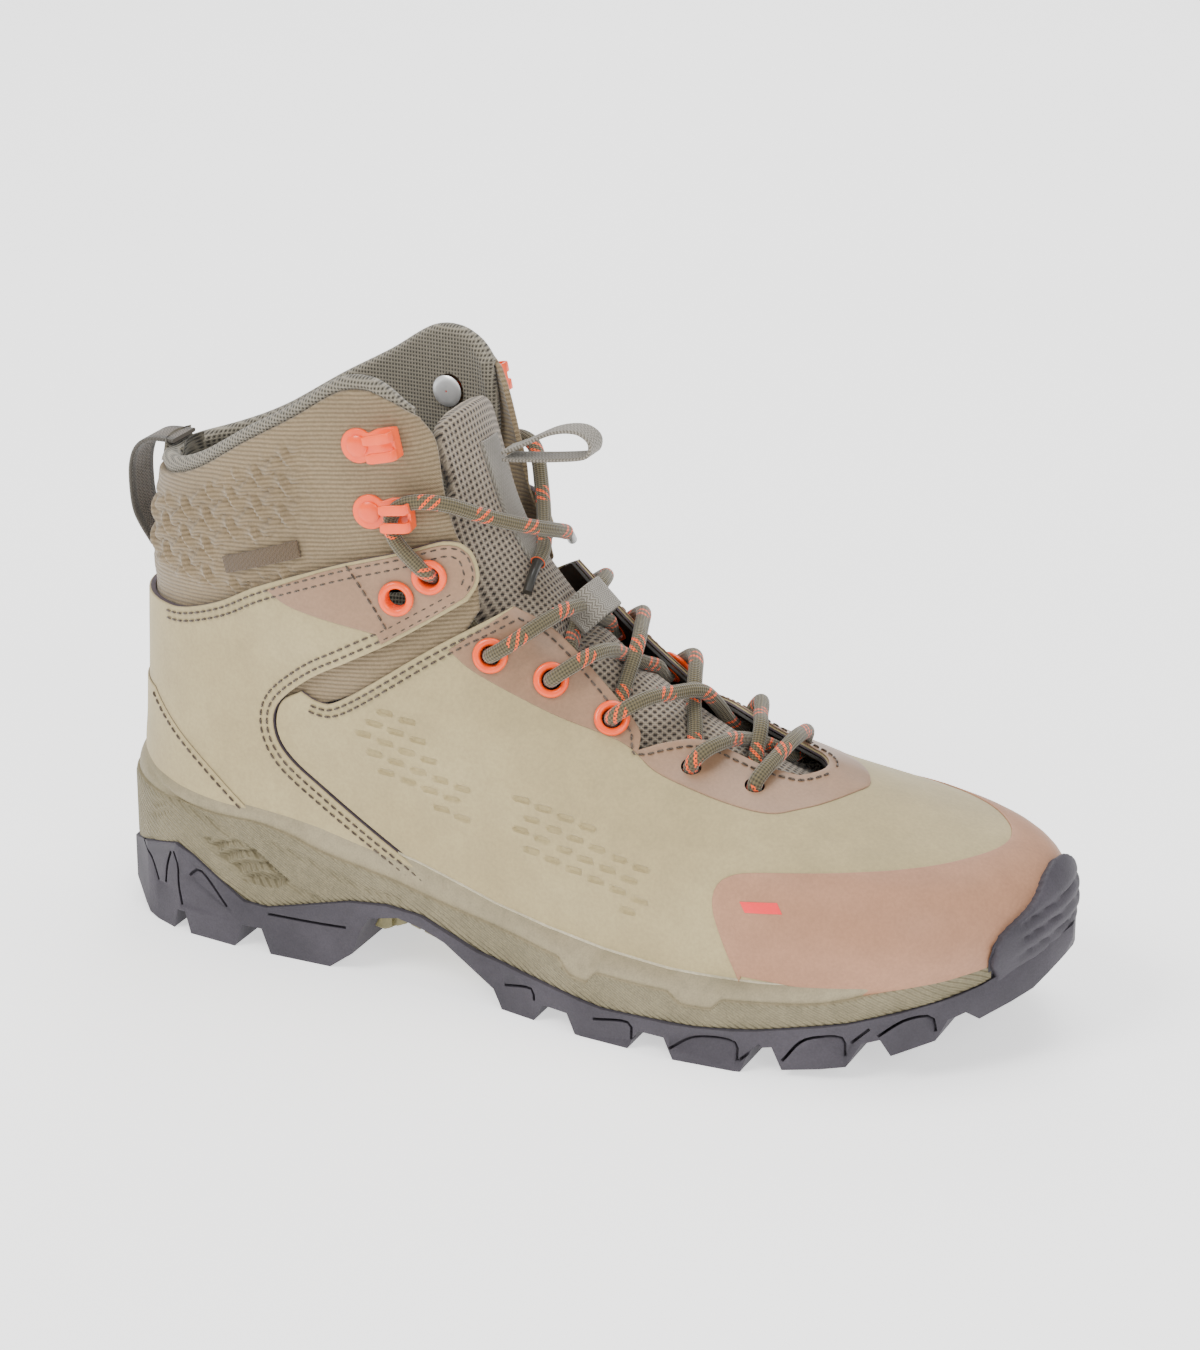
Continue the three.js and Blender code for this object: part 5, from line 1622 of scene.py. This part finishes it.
# %%
def moulded_copy(name, node, material, radius, turn_limit=28.0):
    """A CAD solid with merged faces and rounded edges."""
    bm = bmesh.new()
    bm.from_mesh(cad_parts[node].data)
    for layer in list(bm.loops.layers.uv.values()):
        bm.loops.layers.uv.remove(layer)
    bmesh.ops.remove_doubles(bm, verts=bm.verts, dist=2e-6)
    bmesh.ops.dissolve_limit(bm, angle_limit=math.radians(1.5), verts=bm.verts, edges=bm.edges)
    sharp = [e for e in bm.edges if len(e.link_faces) == 2
             and math.degrees(e.calc_face_angle(0)) > turn_limit]
    bmesh.ops.bevel(bm, geom=sharp, offset=radius * MM, offset_type="OFFSET", segments=2, profile=0.5,
                    affect="EDGES", clamp_overlap=True, material=-1)
    for f in bm.faces:
        f.material_index = 0
    return new_object(name, bm, [material])


def cutter(name, shapes):
    """One object of prisms; each is a side-view outline carried from y = low to y = high."""
    bm = bmesh.new()
    for points, low, high in shapes:
        ends = [[bm.verts.new(tuple((np.array([x, y, z]) + ORIGIN) * MM)) for x, z in points]
                for y in (low, high)]
        bm.faces.new(ends[0])
        bm.faces.new(ends[1][::-1])
        count = len(points)
        for i in range(count):
            j = (i + 1) % count
            bm.faces.new((ends[0][i], ends[0][j], ends[1][j], ends[1][i]))
    bmesh.ops.recalc_face_normals(bm, faces=bm.faces)
    return new_object(name, bm, [])


def volume(mesh):
    bm = bmesh.new()
    bm.from_mesh(mesh)
    found = bm.calc_volume()
    bm.free()
    return found


def carve(target, tool, most=0.03):
    """Cuts the tool out of the target; a cut that takes away more than `most` is left out."""
    modifier = target.modifiers.new("cut", "BOOLEAN")
    modifier.operation = "DIFFERENCE"
    modifier.object = tool
    modifier.solver = "EXACT"
    bpy.context.view_layer.update()
    evaluated = target.evaluated_get(bpy.context.evaluated_depsgraph_get())
    result = bpy.data.meshes.new_from_object(evaluated)
    target.modifiers.clear()
    before = volume(target.data)
    if abs(volume(result) - before) < most * before:
        target.data = result
    else:
        print("cut left out:", tool.name)
    bpy.data.objects.remove(tool)


def wall(x, side):
    """How far the outsole's wall stands out at x, in mm."""
    half_plan = SOLE_PLAN[:17] if side < 0 else np.vstack([SOLE_PLAN[16:], SOLE_PLAN[:1]])[::-1]
    return np.interp(x, half_plan[:, 0], half_plan[:, 1])


def slab_strip(points, width):
    """A thin closed outline round a side-view line, for a groove."""
    line = smooth_line(points, 2.0)
    tangent = unit(np.gradient(line, axis=0))
    normal = np.stack([-tangent[:, 1], tangent[:, 0]], -1) * width / 2
    return [tuple(p) for p in np.vstack([line + normal, (line - normal)[::-1]])]


LUG_GROOVES = [
    [[6.6, 23.8], [11.8, 20.7], [15.2, 13.7]], [[21.7, 25.9], [19.6, 20.2], [18.6, 14.1]],
    [[23, 26.3], [24.9, 22], [24.9, 16], [26.1, 9]], [[29.5, 20], [32.5, 22.6], [36, 21], [43.5, 12.7]],
    [[58.5, 13.5], [74.6, 13.8], [86, 14.3]], [[142.2, 8.5], [151.8, 10.2], [153.1, 6.5]],
    [[174.3, 6.8], [186.2, 8.5], [187.3, 3.2]], [[199.9, 3.4], [208, 8.8], [220, 9.6], [221.1, 3.5]],
    [[221.6, 3.6], [227.6, 9.4]], [[234.1, 5], [240.5, 12.5], [250.5, 14], [251.8, 8]],
    [[253.2, 12.2], [258.2, 17]], [[260.4, 14.6], [267, 19.6], [273.6, 20.4], [275, 15.5]],
]
GROOVE_WIDTH, GROOVE_DEPTH = 0.9, 1.3
outsole = moulded_copy("moulded_outsole", "outsole", OUTSOLE, 0.8)
for index, points in enumerate(LUG_GROOVES):
    for side in (-1, 1):
        near = min((wall(p[0], side) for p in points), key=abs)
        strip = [(slab_strip(points, GROOVE_WIDTH), near - side * GROOVE_DEPTH, near + side * 9)]
        carve(outsole, cutter(f"lug_tool_{index}_{side}", strip))
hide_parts("outsole")
finish_piece(outsole, smooth=35)

bumper_side = join(
    place_line([(0.868, 0.0), place_of([[284.9, 30]])[0], place_of([[285.4, 36]])[0],
                place_of([[287.4, 43]])[0], (0.925, 1.52), (0.962, 1.82), (1, 1.92)], 1.2),
)
teeth = 0.0011 * np.sin(np.arange(len(bumper_side)) * 2.1) * smooth_between(bumper_side[:, 1], 0.7, 1.0)
bumper_side[:, 0] += teeth * (1 - smooth_between(bumper_side[:, 0], 0.95, 0.99))
bumper_loop = join(bumper_side, mirrored(bumper_side)[1:], level_line(1.132, 0.868, 0.0)[1:-1])
BUMPER_GROOVES = [31.5, 35.5, 39.5, 43.6, 47.6]


def bumper_relief(u, level, base):
    z = base[:, 2] + 0.42 * (297 - base[:, 0])
    out = np.zeros(len(base))
    edge = smooth_between(u - 0.885, 0.008, 0.035) * smooth_between(2 - u - 0.885, 0.008, 0.035)
    for line in BUMPER_GROOVES:
        out -= 1.0 * np.exp(-((z - line) / 0.7) ** 2)
    return out * edge


panel("toe_bumper", bumper_loop, 4.45, 1.3, [OUTSOLE], cell=0.9, edge=1.1, relief=bumper_relief,
      slot="outsole_rubber")

arch = moulded_copy("moulded_arch", "arch_insert", ARCH, 0.5)
shapes = []
for index in range(7):
    x = 97.5 + index * 4.8
    shapes.append(([(x, 4), (x + 1.7, 4), (x + 3.4, 24), (x + 1.7, 24)], -45, -32.6))
carve(arch, cutter("arch_tool", shapes))
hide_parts("arch_insert")
finish_piece(arch, smooth=35)

# %% [markdown]
# ## Inside: footbed and the hidden stiffeners
# The footbed is a loose foam sole with a fabric top, dished under the heel. The board, the shank,
# the heel counter and the toe puff stay as the CAD model has them, with their own finish.

# %%
FOOTBED_LEVEL, FOOTBED_IN, FOOTBED_LOW = 0.42, -7.9, 0.17
rows = []
stations = np.linspace(0.012, 0.988, 90)
for u in stations:
    a, b = on_last(u, FOOTBED_LEVEL, FOOTBED_IN), on_last(2 - u, FOOTBED_LEVEL, FOOTBED_IN)
    low = on_last(u, FOOTBED_LOW, FOOTBED_IN)[2]
    thick = a[2] - low
    dish = 1.2 * (1 - smooth_between(u, 0.25, 0.5))
    ring = []
    for f in np.linspace(0, 1, 21):
        edge = 1 - abs(2 * f - 1)
        p = a + (b - a) * f
        ring.append([p[0], p[1], a[2] - 0.6 + 0.6 * min(1, edge * 6) - dish * smooth_between(edge, 0.1, 0.7)])
    for f in np.linspace(1, 0, 21):
        edge = 1 - abs(2 * f - 1)
        p = a + (b - a) * (0.5 + (f - 0.5) * 0.985)
        ring.append([p[0], p[1], a[2] - thick * (0.75 + 0.25 * min(1, edge * 6))])
    rows.append(ring)
footbed = grid_mesh("fabric_footbed", np.array(rows), lambda i, j: (j * 0.004, i * 0.003), [FOOTBED_TOP],
                    body="footbed_body", replaces=["footbed"], slot="footbed_foam")
for node, material in (("insole_board", BOARD), ("heel_counter", BOARD), ("toe_puff", BOARD),
                       ("shank_plate", SHANK_STEEL)):
    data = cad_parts[node].data
    data.materials.clear()
    data.materials.append(material)
print("inside pieces done")

# %% [markdown]
# ## Floor and light
# A plain pale floor and four large soft lamps, as in a small studio.

# %%
floor_material, tree, shader = new_material("pale_floor", 0.9, Specular_IOR_Level=0.1, Emission_Strength=1.0)
paper = noise(tree, object_space(tree), 3, 2)
set_colour(tree, shader, ramp(tree, paper, [(0.3, "#F6F6F6"), (0.7, "#FAFAFA")]))
floor_mesh = bpy.data.meshes.new("floor")
floor_mesh.from_pydata([(-8, -8, 0), (8, -8, 0), (8, 8, 0), (-8, 8, 0)], [], [(0, 1, 2, 3)])
floor_mesh.materials.append(floor_material)
floor = bpy.data.objects.new("floor", floor_mesh)
bpy.context.scene.collection.objects.link(floor)
floor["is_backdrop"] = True


def lamp(name, spot, size, power, tint):
    data = bpy.data.lights.new(name, "AREA")
    data.shape = "DISK"
    data.size = size
    data.energy = power
    data.color = tint
    made = bpy.data.objects.new(name, data)
    bpy.context.scene.collection.objects.link(made)
    made.location = spot
    made.rotation_euler = (Vector((0, 0, 0.06)) - Vector(spot)).to_track_quat("-Z", "Y").to_euler()


lamp("key", (-0.9, -1.5, 1.9), 1.2, 44, (1.0, 0.985, 0.965))
lamp("front", (1.5, -1.3, 1.1), 1.2, 20, (1.0, 1.0, 1.0))
lamp("top", (0.1, 0.5, 2.2), 1.6, 30, (0.98, 0.99, 1.0))
lamp("rim", (-0.6, 1.7, 1.2), 1.0, 12, (1.0, 1.0, 1.0))
world = bpy.data.worlds.new("studio")
world.use_nodes = True
world.node_tree.nodes["Background"].inputs["Color"].default_value = linear("#F2F2F2")
world.node_tree.nodes["Background"].inputs["Strength"].default_value = 0.8
bpy.context.scene.world = world

# %%
low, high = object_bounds()
sizes = {"cad": CAD_BOX, "visual": [list(low), list(high)]}
sizes = {key: [[float(c) for c in corner] for corner in value] for key, value in sizes.items()}
print("CAD box", sizes["cad"])
print("visual box", sizes["visual"])
